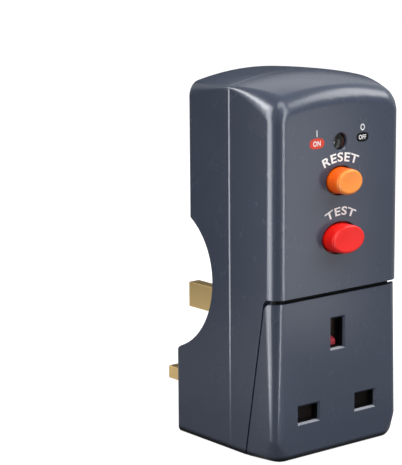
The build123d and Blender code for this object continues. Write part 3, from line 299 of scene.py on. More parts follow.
def dressed(node, width, material, reshape=None, name=None):
    """A merged copy of a CAD node's mesh with flat faces joined and its edges rounded by a bevel.
    reshape, where given, changes the merged copy before its edges are rounded."""
    source = frame["nodes"][node]
    work = bmesh.new()
    work.from_mesh(source.data)
    bmesh.ops.remove_doubles(work, verts=work.verts, dist=MERGE_CAD * MM)
    bmesh.ops.dissolve_limit(work, angle_limit=radians(FLAT_ANGLE), verts=work.verts, edges=work.edges)
    if reshape:
        reshape(work)
    name = name or node + "_dressed"
    mesh = bpy.data.meshes.new(name)
    work.to_mesh(mesh)
    work.free()
    mesh.polygons.foreach_set("use_smooth", [True] * len(mesh.polygons))
    mesh.set_sharp_from_angle(angle=radians(CRISP_CAD))
    mesh.materials.clear()
    mesh.materials.append(material)
    piece = bpy.data.objects.new(name, mesh)
    bpy.context.scene.collection.objects.link(piece)
    bevel = piece.modifiers.new("rounded edges", "BEVEL")
    bevel.width = width * MM
    bevel.segments = BEVEL_STEPS
    bevel.limit_method = "ANGLE"
    bevel.angle_limit = radians(CRISP_CAD)
    bevel.use_clamp_overlap = True
    bevel.harden_normals = True
    weighted = piece.modifiers.new("flat faces stay flat", "WEIGHTED_NORMAL")
    weighted.keep_sharp = True
    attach(piece, source["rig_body"])
    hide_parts(node)
    return piece


def narrowed_corners(work):
    """Narrows the insert's upright front corners towards the foot. A point on the corner's arc lies
    a inside the side face and b behind the front face; both become a·k and b·k, where k is the
    radius wanted at its height over the arc's own radius. Rings cut above the foot's own rounding,
    which is kept, let k come in by steps."""
    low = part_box("socket_front")[0].y / MM
    for share in FOOT_RINGS:
        geometry = work.verts[:] + work.edges[:] + work.faces[:]
        height = FOOT + FOOT_KEPT + FOOT_BLEND * share
        bmesh.ops.bisect_plane(work, geom=geometry, plane_co=(0, 0, height * MM), plane_no=(0, 0, 1))
    for vertex in work.verts:
        x, y, z = vertex.co / MM
        across = -SIDE - abs(x)
        behind = y - low
        if max(across, behind) > CORNER_ROUND + ARC_SLACK:
            continue
        off_arc = abs(Vector((across - CORNER_ROUND, behind - CORNER_ROUND)).length - CORNER_ROUND)
        if off_arc > ARC_NEAR:
            continue
        share = min(max((z - FOOT) / STEP_HIGH, 0), 1)
        k = (ROUND_AT_FOOT + (ROUND_AT_STEP - ROUND_AT_FOOT) * share) / CORNER_ROUND
        k = 1 + (k - 1) * min(max((z - FOOT - FOOT_KEPT) / FOOT_BLEND, 0), 1)
        side = 1 if x > 0 else -1
        vertex.co.x = side * (-SIDE - across * k) * MM
        vertex.co.y = (low + behind * k) * MM


def eased_seam(work):
    """Lets the rear shell's outer edge fall away a little towards the seam, over a short length."""
    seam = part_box("front_cover")[1].y
    geometry = work.verts[:] + work.edges[:] + work.faces[:]
    bmesh.ops.bisect_plane(work, geom=geometry, plane_co=(0, seam + SEAM_LONG * MM, 0), plane_no=(0, 1, 0))
    work.normal_update()
    middle = (cad_box[0].z + cad_box[1].z) / 2
    for vertex in work.verts:
        outward = Vector((vertex.normal.x, 0, vertex.normal.z))
        beside = abs(vertex.co.x) > (-SIDE - SEAM_BAND) * MM
        outer = beside or abs(vertex.co.z - middle) > DOME_EDGE * MM
        if abs(vertex.co.y - seam) > SEAM_NEAR * MM or not outer:
            continue
        if outward.dot(Vector((vertex.co.x, 0, vertex.co.z - middle))) > 0:
            vertex.co -= outward.normalized() * SEAM_DEEP * MM


def in_aperture(x, z):
    """Whether a place on the insert's front lies in one of its apertures or at its rounded rim."""
    for middle, height, half_x, half_z in APERTURES:
        if abs(x - middle) < half_x + APERTURE_ROUND and abs(z - FOOT - height) < half_z + APERTURE_ROUND:
            return True
    return False


def paint_recess_shade(piece, material):
    """Gives the insert's flange in the gap at the step, and the walls of its apertures behind their
    chamfers, a black material: painted shade where these deep places lie in shadow."""
    piece.data.materials.append(material)
    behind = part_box("socket_front")[0].y / MM + APERTURE_RIM
    for face in piece.data.polygons:
        x, y, z = face.center / MM
        if z > FOOT + INSERT_TOP or (y > behind and in_aperture(x, z)):
            face.material_index = 1


def kept_side(height, upper):
    """A reshaping that keeps what lies above or below a height and closes the cut."""
    def cut(work):
        geometry = work.verts[:] + work.edges[:] + work.faces[:]
        away = -1 if upper else 1
        result = bmesh.ops.bisect_plane(work, geom=geometry, plane_co=(0, 0, height),
                                        plane_no=(0, 0, away), clear_outer=True)
        rim = [edge for edge in result["geom_cut"] if isinstance(edge, bmesh.types.BMEdge)]
        bmesh.ops.holes_fill(work, edges=rim)
    return cut


# Materials

def new_material(name, colour, roughness, metallic=0.0):
    """A material with its own shader sockets set; returns it with its tree and shader."""
    material = bpy.data.materials.new(name)
    material.use_nodes = True
    tree = material.node_tree
    shader = tree.nodes["Principled BSDF"]
    shader.inputs["Base Color"].default_value = (*colour, 1)
    shader.inputs["Roughness"].default_value = roughness
    shader.inputs["Metallic"].default_value = metallic
    return material, tree, shader


def noise(tree, scale, detail=2.0, stretch=(1, 1, 1)):
    """Noise on object coordinates; scale is in cells a metre."""
    place = tree.nodes.new("ShaderNodeTexCoord")
    mapping = tree.nodes.new("ShaderNodeMapping")
    mapping.inputs["Scale"].default_value = stretch
    texture = tree.nodes.new("ShaderNodeTexNoise")
    texture.inputs["Scale"].default_value = scale
    texture.inputs["Detail"].default_value = detail
    tree.links.new(place.outputs["Object"], mapping.inputs["Vector"])
    tree.links.new(mapping.outputs["Vector"], texture.inputs["Vector"])
    return texture.outputs["Fac"]


def ranged(tree, value, low, high):
    """A noise value spread between low and high, from the range that holds most of it."""
    spread = tree.nodes.new("ShaderNodeMapRange")
    spread.inputs["From Min"].default_value = NOISE_LOW
    spread.inputs["From Max"].default_value = NOISE_HIGH
    spread.inputs["To Min"].default_value = low
    spread.inputs["To Max"].default_value = high
    tree.links.new(value, spread.inputs["Value"])
    return spread.outputs["Result"]


def add_grain(tree, shader, value, height):
    """Bump from a value, with its height in millimetres."""
    bump = tree.nodes.new("ShaderNodeBump")
    bump.inputs["Strength"].default_value = 1.0
    bump.inputs["Distance"].default_value = height * MM
    tree.links.new(value, bump.inputs["Height"])
    tree.links.new(bump.outputs["Normal"], shader.inputs["Normal"])


def moulded(name, colour, roughness, height, shade=0.06):
    """Moulded plastic: eroded-tool grain in the bump, and slow changes of colour and gloss."""
    material, tree, shader = new_material(name, colour, roughness)
    mix = tree.nodes.new("ShaderNodeMix")
    mix.data_type = "RGBA"
    mix.inputs[6].default_value = (*[c * (1 - shade) for c in colour], 1)
    mix.inputs[7].default_value = (*[c * (1 + shade) for c in colour], 1)
    tree.links.new(ranged(tree, noise(tree, CLOUD, 3.0), 0.0, 1.0), mix.inputs[0])
    tree.links.new(mix.outputs[2], shader.inputs["Base Color"])
    gloss = ranged(tree, noise(tree, CLOUD * 2, 3.0), roughness - GLOSS_CHANGE, roughness + GLOSS_CHANGE)
    tree.links.new(gloss, shader.inputs["Roughness"])
    add_grain(tree, shader, noise(tree, GRAIN), height)
    return material, shader


def painted_foot_shadow(tree, shader):
    """Paints the lowest edge nearly black and lowers its reflection there: a painted shadow where it stands
    in its own shade.
    """
    place = tree.nodes.new("ShaderNodeTexCoord")
    split = tree.nodes.new("ShaderNodeSeparateXYZ")
    tree.links.new(place.outputs["Object"], split.inputs["Vector"])
    colour = shader.inputs["Base Color"].links[0].from_socket
    mix = tree.nodes.new("ShaderNodeMix")
    mix.data_type = "RGBA"
    mix.inputs[6].default_value = (*FOOT_SHADOW_COLOUR, 1)
    tree.links.new(colour, mix.inputs[7])
    specular = shader.inputs["Specular IOR Level"]
    for low, high, target in ((0.0, 1.0, mix.inputs[0]), (FOOT_SPECULAR, CASE_SPECULAR, specular)):
        spread = tree.nodes.new("ShaderNodeMapRange")
        spread.inputs["From Min"].default_value = (FOOT + FOOT_DARK) * MM
        spread.inputs["From Max"].default_value = (FOOT + FOOT_CLEAR) * MM
        spread.inputs["To Min"].default_value = low
        spread.inputs["To Max"].default_value = high
        tree.links.new(split.outputs["Z"], spread.inputs["Value"])
        tree.links.new(spread.outputs["Result"], target)
    tree.links.new(mix.outputs[2], shader.inputs["Base Color"])


def drawn_metal(name, colour, roughness):
    """Metal with fine draw lines and a slight tarnish."""
    material, tree, shader = new_material(name, colour, roughness, 1.0)
    mix = tree.nodes.new("ShaderNodeMix")
    mix.data_type = "RGBA"
    mix.inputs[6].default_value = (*[c * TARNISH for c in colour], 1)
    mix.inputs[7].default_value = (*colour, 1)
    tree.links.new(ranged(tree, noise(tree, TARNISH_CLOUD, 3.0), 0.0, 1.0), mix.inputs[0])
    tree.links.new(mix.outputs[2], shader.inputs["Base Color"])
    lines = noise(tree, DRAW_LINES, stretch=DRAW_STRETCH)
    gloss = ranged(tree, lines, roughness - DRAW_SMOOTHER, roughness + DRAW_ROUGHER)
    tree.links.new(gloss, shader.inputs["Roughness"])
    add_grain(tree, shader, lines, DRAW_DEPTH)
    return material


record = frame["record"]
slot_of = {part["node"]: part["material_slot"] for part in record["subparts"]}

case, case_shader = moulded("case slate", (0.040, 0.050, 0.078), 0.27, height=0.008, shade=0.02)
case_shader.inputs["Specular IOR Level"].default_value = CASE_SPECULAR
# Painted shadow: the case goes near black at its foot, with less reflection there
painted_foot_shadow(case.node_tree, case_shader)
orange, orange_shader = moulded("button orange", (0.95, 0.21, 0.016), 0.30, height=0.003, shade=0.03)
red, red_shader = moulded("button red", (0.80, 0.012, 0.008), 0.28, height=0.003, shade=0.03)
orange_shader.inputs["Specular IOR Level"].default_value = 0.25
red_shader.inputs["Specular IOR Level"].default_value = 0.14
shutter_red, _ = moulded("shutter red", (0.62, 0.012, 0.045), 0.42, height=0.004)
# Near-black painted shade for the shutter's plate, deep behind the lower apertures
shutter_plate_shade, shutter_plate_shade_shader = moulded("shutter plate painted shade", (0.004, 0.002, 0.002), 0.7, height=0.004)
shutter_plate_shade_shader.inputs["Specular IOR Level"].default_value = 0.05
sleeve_black, _ = moulded("sleeve black", (0.018, 0.018, 0.020), 0.42, height=0.006)
moulding, _ = moulded("dark moulding", (0.030, 0.030, 0.033), 0.45, height=0.006)
black, _ = moulded("component black", (0.016, 0.016, 0.017), 0.5, height=0.006)
pill_red, pill_red_shader = moulded("print orange red", (0.62, 0.050, 0.026), 0.5, height=0.002, shade=0.04)
# The black print's material also paints shade into the insert's recesses
print_and_shade_black, print_and_shade_black_shader = moulded("print black and painted shade", (0.005, 0.005, 0.005), 0.5, height=0.002, shade=0.04)
white_ink, white_shader = moulded("print white", (0.90, 0.90, 0.90), 0.55, height=0.002, shade=0.03)
for ink_shader, level in ((pill_red_shader, 0.12), (print_and_shade_black_shader, 0.03), (white_shader, 0.12)):
    ink_shader.inputs["Specular IOR Level"].default_value = level
glowing_marker, glowing_marker_shader = moulded("marker orange with painted glow", (0.90, 0.20, 0.02), 0.5, height=0.002, shade=0.04)
# Painted light: the marker glows on its own, so it shows behind the dark lens
glowing_marker_shader.inputs["Emission Color"].default_value = (1.0, 0.22, 0.02, 1)
glowing_marker_shader.inputs["Emission Strength"].default_value = 1.6
ferrite, _ = moulded("ferrite", (0.045, 0.045, 0.050), 0.62, height=0.010)
board_green, _ = moulded("board green", (0.035, 0.17, 0.075), 0.32, height=0.004)
blue, _ = moulded("component blue", (0.045, 0.11, 0.36), 0.3, height=0.006)
sleeve_blue, _ = moulded("capacitor sleeve", (0.04, 0.05, 0.11), 0.25, height=0.002)
beige, _ = moulded("resistor beige", (0.56, 0.44, 0.29), 0.35, height=0.004)
brass = drawn_metal("brass", (0.70, 0.50, 0.22), 0.3)
steel = drawn_metal("plated steel", (0.58, 0.58, 0.57), 0.28)
bronze = drawn_metal("spring bronze", (0.70, 0.47, 0.27), 0.3)
silver = drawn_metal("silver tips", (0.86, 0.86, 0.83), 0.22)
copper = drawn_metal("copper", (0.75, 0.33, 0.18), 0.28)
clear, clear_tree, clear_shader = new_material("window clear", (0.14, 0.14, 0.15), 0.05)
clear_shader.inputs["Transmission Weight"].default_value = 1.0
clear_shader.inputs["IOR"].default_value = 1.3
clear_shader.inputs["Specular IOR Level"].default_value = 0.25
add_grain(clear_tree, clear_shader, noise(clear_tree, 400.0), 0.004)

slot_material = {
    "case": case, "steel": steel, "brass": brass, "sleeve": sleeve_black, "bronze": bronze,
    "silver": silver, "moulding": moulding, "copper": copper, "ferrite": ferrite, "board": board_green,
    "component_black": black, "component_blue": blue, "capacitor_sleeve": sleeve_blue,
    "resistor_beige": beige, "shutter_red": shutter_red, "marker_orange": glowing_marker,
    "reset_orange": orange, "test_red": red, "window_clear": clear,
}


# Camera

def add_camera():
    """The photograph's camera from its place, yaw, pitch, roll and focal length in pixels."""
    yaw, pitch, roll = radians(CAMERA_YAW), radians(CAMERA_PITCH), radians(CAMERA_ROLL)
    ahead = Vector((sin(yaw) * cos(pitch), cos(yaw) * cos(pitch), -sin(pitch)))
    level = Vector((cos(yaw), -sin(yaw), 0))
    upright = level.cross(ahead)
    right = cos(roll) * level + sin(roll) * upright
    up = -sin(roll) * level + cos(roll) * upright
    data = bpy.data.cameras.new("camera")
    data.sensor_width = SENSOR
    data.lens = FOCAL_PIXELS * SENSOR / max(IMAGE_WIDE, IMAGE_TALL)
    data.clip_start = CAMERA_CLIP * MM
    camera = bpy.data.objects.new("camera", data)
    turn = Matrix((right, up, -ahead)).transposed().to_4x4()
    camera.matrix_world = Matrix.Translation(Vector(CAMERA_PLACE) * MM) @ turn
    bpy.context.scene.collection.objects.link(camera)
    bpy.context.scene.camera = camera


add_camera()


# Case, pins, sleeves and screws

dressed("rear_housing", SHELL_BEVEL, case, reshape=eased_seam)
dressed("front_cover", COVER_BEVEL, case)
insert = dressed("socket_front", COVER_BEVEL, case, reshape=narrowed_corners)
# Painted shade: the flange in the step's gap and the aperture walls are coloured black
paint_recess_shade(insert, print_and_shade_black)
for node, width in (("line_pin", PIN_BEVEL), ("neutral_pin", PIN_BEVEL), ("earth_pin", PIN_BEVEL),
                    ("line_pin_sleeve", SLEEVE_BEVEL), ("neutral_pin_sleeve", SLEEVE_BEVEL),
                    ("housing_screws", SCREW_BEVEL)):
    dressed(node, width, slot_material[slot_of[node]])
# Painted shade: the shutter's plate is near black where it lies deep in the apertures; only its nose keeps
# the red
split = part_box("shutter")[1].z - NOSE_TALL * MM
dressed("shutter", SHUTTER_BEVEL, shutter_plate_shade, reshape=kept_side(split, False), name="shutter_plate_painted_shade")
dressed("shutter", SHUTTER_BEVEL, shutter_red, reshape=kept_side(split, True), name="shutter_nose")


# Buttons

def button_profile(half_x, half_z, front, stem_end):
    """Half sizes and depths of a button's rings from the middle of its face to its stem's end:
    a shallow dish, a rounded rim, a side with draft, the flange behind the cover, the round stem."""
    share = np.linspace(0, 1, FACE_RINGS)
    rim_x = half_x - CAP_DRAFT - CAP_ROUND
    rim_z = half_z - CAP_DRAFT - CAP_ROUND
    face_x = share * rim_x
    face_z = share * rim_z
    face_y = front + CAP_DISH * (1 - share ** 2) ** 1.5
    turn = np.linspace(0, pi / 2, ROUND_RINGS)[1:]
    round_out = CAP_ROUND * np.sin(turn)
    round_y = front + CAP_ROUND * (1 - np.cos(turn))
    flange_y = FACE + FLANGE_FRONT
    flange_rear = flange_y + FLANGE_THICK
    grow = np.array([0, FLANGE_LIP, FLANGE_LIP])
    x = np.concatenate([face_x, rim_x + round_out, half_x + grow, [STEM_RADIUS, STEM_RADIUS, 0]])
    z = np.concatenate([face_z, rim_z + round_out, half_z + grow, [STEM_RADIUS, STEM_RADIUS, 0]])
    y = np.concatenate([face_y, round_y, [flange_y, flange_y, flange_rear],
                        [flange_rear, stem_end, stem_end]])
    return x, z, y


def painted_face_light(material, shader, front, lit_face_colour, side_colour):
    """Paints a button's face lighter than its side, as painted light on the face, the colour blending into
    the side's over the depth behind its front.
    """
    tree = material.node_tree
    place = tree.nodes.new("ShaderNodeTexCoord")
    split = tree.nodes.new("ShaderNodeSeparateXYZ")
    spread = tree.nodes.new("ShaderNodeMapRange")
    spread.inputs["From Min"].default_value = front
    spread.inputs["From Max"].default_value = front + COLOUR_DEPTH * MM
    mix = tree.nodes.new("ShaderNodeMix")
    mix.data_type = "RGBA"
    mix.inputs[6].default_value = (*lit_face_colour, 1)
    mix.inputs[7].default_value = (*side_colour, 1)
    tree.links.new(place.outputs["Object"], split.inputs["Vector"])
    tree.links.new(split.outputs["Y"], spread.inputs["Value"])
    tree.links.new(spread.outputs["Result"], mix.inputs[0])
    tree.links.new(mix.outputs[2], shader.inputs["Base Color"])


def add_button(node, body, material, shader, lit_face_colour, side_colour):
    """One button in the place of its CAD solid."""
    low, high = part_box(node)
    painted_face_light(material, shader, low.y, lit_face_colour, side_colour)
    centre = ((low.x + high.x) / 2 / MM, (low.z + high.z) / 2 / MM)
    half_x = (high.x - low.x) / 2 / MM - FLANGE_LIP
    half_z = (high.z - low.z) / 2 / MM - FLANGE_LIP
    x, z, y = button_profile(half_x, half_z, low.y / MM, high.y / MM)
    piece = oval_sweep(node + "_cap", centre, x, z, y, body, material)
    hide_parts(node)


# Painted light: each button's face is given a lighter colour than its side
add_button("reset_button", "reset", orange, orange_shader, ORANGE_LIT_FACE, ORANGE_SIDE)
add_button("test_button", "test", red, red_shader, RED_LIT_FACE, RED_SIDE)


# Window

def add_window():
    """The clear stepped disc as rings along its depth: a front that falls back with the square of
    the radius, a rim rounded by a quarter circle, and the flange behind it."""
    low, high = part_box("indicator_window")
    centre = ((low.x + high.x) / 2 / MM, (low.z + high.z) / 2 / MM)
    flange = (high.x - low.x) / 2 / MM
    radius = flange - FLANGE_LIP
    inner = radius - LENS_RIM
    step = FACE + LENS_STEP
    share = np.linspace(0, 1, LENS_RINGS)
    turn = np.linspace(0, pi / 2, RIM_RINGS)[1:]
    front = low.y / MM
    rim = front + LENS_DOME
    size = np.concatenate([share * inner, inner + LENS_RIM * np.sin(turn), [radius, flange, flange, 0]])
    depth = np.concatenate([front + LENS_DOME * share ** 2, rim + LENS_RIM * (1 - np.cos(turn)),
                            [step, step, high.y / MM, high.y / MM]])
    piece = oval_sweep("window_lens", centre, size, size, depth, "housing", clear)
    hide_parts("indicator_window")


def add_shroud():
    """A short black tube behind the window, so that only the flag is seen through it."""
    low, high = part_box("indicator_window")
    centre = ((low.x + high.x) / 2 / MM, (low.z + high.z) / 2 / MM)
    front = high.y / MM + SHROUD_GAP
    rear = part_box("indicator_flag")[0].y / MM - SHROUD_CLEAR
    size = np.array([SHROUD_INNER, SHROUD_OUTER, SHROUD_OUTER, SHROUD_INNER, SHROUD_INNER])
    depth = [front, front, rear, rear, front]
    oval_sweep("window_shroud", centre, size, size, depth, "housing", print_and_shade_black)


add_window()
add_shroud()


# Springs

def coil_points(low, high, axis, middle, radius, wire, turns):
    """Rings of points along a round wire. The wire's middle goes round at the angle a and rises with
    it by one wire in the first and last turns and evenly between them; a point of its ring at b is
    wire/2·cos b outwards and wire/2·sin b along. Rings of size zero close the wire's ends."""
    across, beside = (i for i in range(3) if i != axis)
    angle = np.linspace(0, turns * tau, turns * COIL_STEPS + 1)
    heights = [low, low + wire, high - 2 * wire, high - wire]
    rise = np.interp(angle / tau, [0, 1, turns - 1, turns], heights)
    angle = np.pad(angle, 1, "edge")
    rise = np.pad(rise, 1, "edge") + wire / 2
    thick = np.full(len(angle), wire / 2)
    thick[[0, -1]] = 0
    ring = np.linspace(0, tau, WIRE_SIDES, endpoint=False)
    reach = radius - wire / 2 + np.outer(thick, np.cos(ring))
    points = np.empty((len(angle), WIRE_SIDES, 3))
    points[..., axis] = rise[:, None] + np.outer(thick, np.sin(ring))
    points[..., across] = middle[0] + reach * np.cos(angle)[:, None]
    points[..., beside] = middle[1] + reach * np.sin(angle)[:, None]
    return points


def add_spring(node, axis, fixed_end, wire, turns):
    """Round-wire coils in the place of a spring's sleeves, side by side where the node's box is
    wider than one coil."""
    low, high = np.array(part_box(node)) / MM
    across = [i for i in range(3) if i != axis]
    wide = min(high[across] - low[across])
    middles = [sorted({round(low[i] + wide / 2, 2), round(high[i] - wide / 2, 2)}) for i in across]
    coils = [coil_points(low[axis], high[axis], axis, (first, second), wide / 2, wire, turns)
             for first in middles[0] for second in middles[1]]
    rows = len(coils[0])
    faces = grid_faces(rows, WIRE_SIDES)
    faces = np.concatenate([faces + i * rows * WIRE_SIDES for i in range(len(coils))])
    points = np.concatenate(coils).reshape(-1, 3) * MM
    piece = finish_mesh(node + "_coils", points, faces, None, slot_material[slot_of[node]])
    start = (low + high) / 2
    end = start.copy()
    start[axis] = (low, high)[fixed_end][axis]
    end[axis] = (high, low)[fixed_end][axis]
    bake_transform(piece)
    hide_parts(node)


add_spring("reset_spring", ALONG_Y, HIGH_END, wire=0.5, turns=5)
add_spring("test_spring", ALONG_Y, HIGH_END, wire=0.5, turns=5)
add_spring("carriage_springs", ALONG_Y, HIGH_END, wire=0.5, turns=5)
add_spring("plunger_spring", ALONG_X, LOW_END, wire=0.5, turns=4)
add_spring("shutter_springs", ALONG_Z, HIGH_END, wire=0.3, turns=16)


# Printed marks

def word_points(word, bold):
    """Outline mesh of a word in the plane, one unit of height for its capitals, middle at zero."""
    curve = bpy.data.curves.new("word", "FONT")
    curve.body = word
    curve.align_x = "CENTER"
    curve.size = 1.0
    curve.offset = bold
    curve.extrude = HALF_LAYER
    curve.resolution_u = LETTER_SMOOTH
    curve.space_character = LETTER_SPACE
    holder = bpy.data.objects.new("word", curve)
    bpy.context.scene.collection.objects.link(holder)
    bpy.context.view_layer.update()
    mesh = bpy.data.meshes.new_from_object(holder.evaluated_get(bpy.context.evaluated_depsgraph_get()))
    bpy.data.objects.remove(holder)
    points = np.empty(len(mesh.vertices) * 3)
    mesh.vertices.foreach_get("co", points)
    points = points.reshape(-1, 3)
    points[:, 1] -= points[:, 1].min()
    points[:, 1] /= points[:, 1].max()
    points[:, 0] -= (points[:, 0].min() + points[:, 0].max()) / 2
    return mesh, points


def place_word(name, mesh, across, up):
    """Lays a word's points on the front face; their third coordinate becomes the ink's thickness."""
    points = np.empty(len(mesh.vertices) * 3)
    mesh.vertices.foreach_get("co", points)
    layer = points.reshape(-1, 3)[:, 2]
    placed = np.stack([across, FACE - PRINT_THICK * (layer + HALF_LAYER), up + FOOT], -1) * MM
    mesh.vertices.foreach_set("co", placed.ravel())
    work = bmesh.new()
    work.from_mesh(mesh)
    bmesh.ops.remove_doubles(work, verts=work.verts, dist=MERGE * MM)
    bmesh.ops.recalc_face_normals(work, faces=work.faces)
    work.to_mesh(mesh)
    work.free()
    mesh.materials.clear()
    mesh.materials.append(white_ink)
    piece = bpy.data.objects.new(name, mesh)
    bpy.context.scene.collection.objects.link(piece)
    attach(piece, "housing")


def arc_word(arc):
    """A word bent round a circle: a point at x along and y up goes to the angle x/r, at r + y."""
    mesh, points = word_points(arc["word"], WORD_BOLD)
    x = points[:, 0] / np.ptp(points[:, 0]) * arc["wide"]
    y = points[:, 1] * arc["tall"]
    angle = x / arc["radius"]
    reach = arc["radius"] + y
    across = arc["middle"] + reach * np.sin(angle)
    up = arc["base"] - arc["radius"] + reach * np.cos(angle)
    place_word(arc["word"].lower() + "_legend", mesh, across, up)


def pill(mark, name, symbol, ink):
    """A filled print with a word in it, and a plain symbol above it."""
    share = np.array([0.0, 0.5, 1.0, 1.0, 0.0])
    proud = np.array([PILL_FRONT, PILL_FRONT, PILL_FRONT, -PILL_REAR, -PILL_REAR])
    depth = FACE - PRINT_THICK * proud
    centre = (mark["x"], mark["z"] + FOOT)
    oval_sweep(name + "_pill", centre, share * mark["half_x"], share * mark["half_z"], depth,
               "housing", ink, power=PILL_POWER)
    for label, text, tall, rise, bold in (("word", mark["word"], mark["tall"], 0, WORD_BOLD),
                                          ("symbol", symbol, MARK_TALL, MARK_RISE, MARK_BOLD)):
        mesh, points = word_points(text, bold)
        across = mark["x"] + points[:, 0] * tall * LETTER_WIDE
        up = mark["z"] + rise + (points[:, 1] - 0.5) * tall
        place_word(name + "_" + label, mesh, across, up)


arc_word(RESET_ARC)
arc_word(TEST_ARC)
pill(ON_PILL, "on", "I", pill_red)
pill(OFF_PILL, "off", "O", print_and_shade_black)


# Finishes of the CAD nodes, for those that keep their shape

for node, shape in frame["nodes"].items():
    shape.data.materials.clear()
    shape.data.materials.append(slot_material[slot_of[node]])


# Floor, lamps and background

def background_share(tree, glossy=1.0):
    """One where a camera or transmission ray looks, the given share for a glossy ray, else zero."""
    path = tree.nodes.new("ShaderNodeLightPath")
    either = tree.nodes.new("ShaderNodeMath")
    either.operation = "MAXIMUM"
    seen = tree.nodes.new("ShaderNodeMath")
    seen.operation = "MAXIMUM"
    tree.links.new(path.outputs["Is Camera Ray"], either.inputs[0])
    share = tree.nodes.new("ShaderNodeMath")
    share.operation = "MULTIPLY"
    share.inputs[1].default_value = glossy
    tree.links.new(path.outputs["Is Glossy Ray"], share.inputs[0])
    tree.links.new(share.outputs[0], either.inputs[1])
    tree.links.new(either.outputs[0], seen.inputs[0])
    tree.links.new(path.outputs["Is Transmission Ray"], seen.inputs[1])
    return seen.outputs[0]


def add_world():
    """Even pale light, seen as a near white."""
    world = bpy.data.worlds.new("studio")
    bpy.context.scene.world = world
    world.use_nodes = True
    tree = world.node_tree
    background = tree.nodes["Background"]
    background.inputs["Color"].default_value = (*WORLD_COLOUR, 1)
    spread = tree.nodes.new("ShaderNodeMapRange")
    spread.inputs["To Min"].default_value = WORLD_LIGHT
    spread.inputs["To Max"].default_value = 1.0
    tree.links.new(background_share(tree), spread.inputs["Value"])
    tree.links.new(spread.outputs["Result"], background.inputs["Strength"])


def add_floor():
    """A pale floor that keeps the object's shadow under a white of its own."""
    half = FLOOR_HALF
    corners = np.array([(-half, -half, FOOT), (half, -half, FOOT), (half, half, FOOT), (-half, half, FOOT)])
    mesh = bpy.data.meshes.new("floor")
    mesh.from_pydata((corners * MM).tolist(), [], [(0, 1, 2, 3)])
    material, tree, shader = new_material("floor white", FLOOR_COLOUR, 0.9)
    shader.inputs["Specular IOR Level"].default_value = 0.0
    shader.inputs["Emission Color"].default_value = (1, 1, 1, 1)
    glow = tree.nodes.new("ShaderNodeMath")
    glow.operation = "MULTIPLY"
    glow.inputs[1].default_value = FLOOR_GLOW
    tree.links.new(background_share(tree, FLOOR_GLOSSY), glow.inputs[0])
    tree.links.new(glow.outputs[0], shader.inputs["Emission Strength"])
    mesh.materials.append(material)
    floor = bpy.data.objects.new("floor", mesh)
    bpy.context.scene.collection.objects.link(floor)


def add_card(name, corners, glow=0.0):
    """A matt card, met only by reflections: dark, or grey with a glow of its own."""
    mesh = bpy.data.meshes.new(name)
    mesh.from_pydata((np.array(corners) * MM).tolist(), [], [(0, 1, 2, 3)])
    material, _, shader = new_material(name, CARD_COLOUR, 1.0)
    shader.inputs["Emission Color"].default_value = (1, 1, 1, 1)
    shader.inputs["Emission Strength"].default_value = glow
    mesh.materials.append(material)
    card = bpy.data.objects.new(name, mesh)
    bpy.context.scene.collection.objects.link(card)
    card.visible_camera = False
    card.visible_diffuse = False
    card.visible_transmission = False
    card.visible_shadow = False


def add_cards():
    """An upright dark card behind the object with a slanting top edge, for the flat top; a faintly
    glowing one beside it, for the left side; and a flat grey one round its foot, a painted shadow of the
    floor that the low edges reflect."""
    for name, card in (("rear_card", REAR_CARD), ("side_card", SIDE_CARD)):
        near = np.subtract(card["middle"], card["along"])
        far = np.add(card["middle"], card["along"])
        corners = [(*near, FOOT), (*far, FOOT), (*far, card["far_top"]), (*near, card["near_top"])]
        add_card(name, corners, card["glow"])
    out = FOOT_CARD_WIDER - SIDE
    front = FACE - FOOT_CARD_WIDER
    rear = FOOT_CARD_WIDER
    level = FOOT + FOOT_CARD_RISE
    corners = [(-out, front, level), (out, front, level), (out, rear, level), (-out, rear, level)]
    add_card("foot_shadow_card", corners, FOOT_CARD_GLOW)


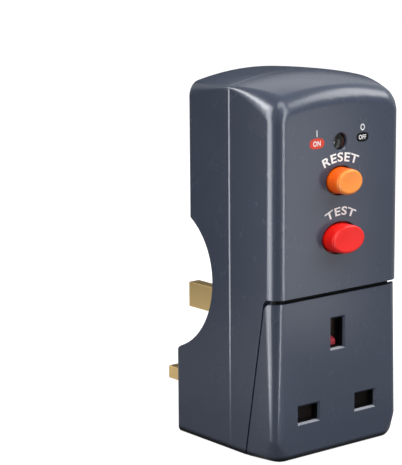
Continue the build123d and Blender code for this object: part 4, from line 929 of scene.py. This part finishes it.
def add_lamp(name, turn, rise, far, wide, tall, power, target=MIDDLE, gloss_only=False, gloss=True):
    """A soft rectangular lamp that points at the target, as far from it as given in millimetres;
    turn is its angle from straight in front towards the left, and rise its angle above the level.
    A gloss-only lamp draws its reflection on edges and adds no light to flat faces; one without
    gloss lights faces and draws no reflection."""
    data = bpy.data.lights.new(name, "AREA")
    data.shape = "RECTANGLE"
    data.size = wide * MM
    data.size_y = tall * MM
    data.energy = power
    lamp = bpy.data.objects.new(name, data)
    bpy.context.scene.collection.objects.link(lamp)
    lamp.visible_diffuse = not gloss_only
    lamp.visible_glossy = gloss
    lamp.visible_camera = False
    level = cos(radians(rise))
    away = Vector((-sin(radians(turn)) * level, -cos(radians(turn)) * level, sin(radians(rise))))
    start = (Vector(target) + away * far) * MM
    look = (-away).to_track_quat("-Z", "Y")
    lamp.matrix_world = Matrix.Translation(start) @ look.to_matrix().to_4x4()


add_world()
add_floor()
add_cards()

add_lamp("key", turn=-60, rise=38, far=1100, wide=620, tall=450, power=11.0)
add_lamp("fill", turn=10, rise=66, far=520, wide=236, tall=190, power=1.8, target=BROW)
for lamp in (
        dict(name="left strip", turn=106, rise=0, far=110, wide=75, tall=260, power=1.02, target=EDGE),
        dict(name="shoulder", turn=127, rise=39, far=200, wide=100, tall=60, power=0.47, target=SHOULDER),
        dict(name="rear strip", turn=178, rise=5, far=300, wide=267, tall=200, power=0.5, target=REAR_EDGE),
        dict(name="top glow", turn=-136, rise=42, far=500, wide=250, tall=150, power=0.13, target=BROW),
        dict(name="front strip", turn=-13, rise=0, far=110, wide=20, tall=260, power=0.42, target=EDGE),
        dict(name="left low", turn=106, rise=0, far=45, wide=30, tall=20, power=0.022, target=LOW_EDGE),
        dict(name="front low", turn=-13, rise=0, far=45, wide=8, tall=20, power=0.012, target=LOW_EDGE),
        dict(name="face sheen", turn=-43, rise=0, far=123, wide=40, tall=85, power=0.034, target=FACE_LEFT)):
    add_lamp(gloss_only=True, **lamp)
add_lamp("left fill", turn=76, rise=22, far=600, wide=300, tall=300, power=1.5, gloss=False)
add_lamp("rear fill", turn=195, rise=12, far=900, wide=400, tall=400, power=2.2, gloss=False)

bpy.context.scene.view_settings.view_transform = "Standard"
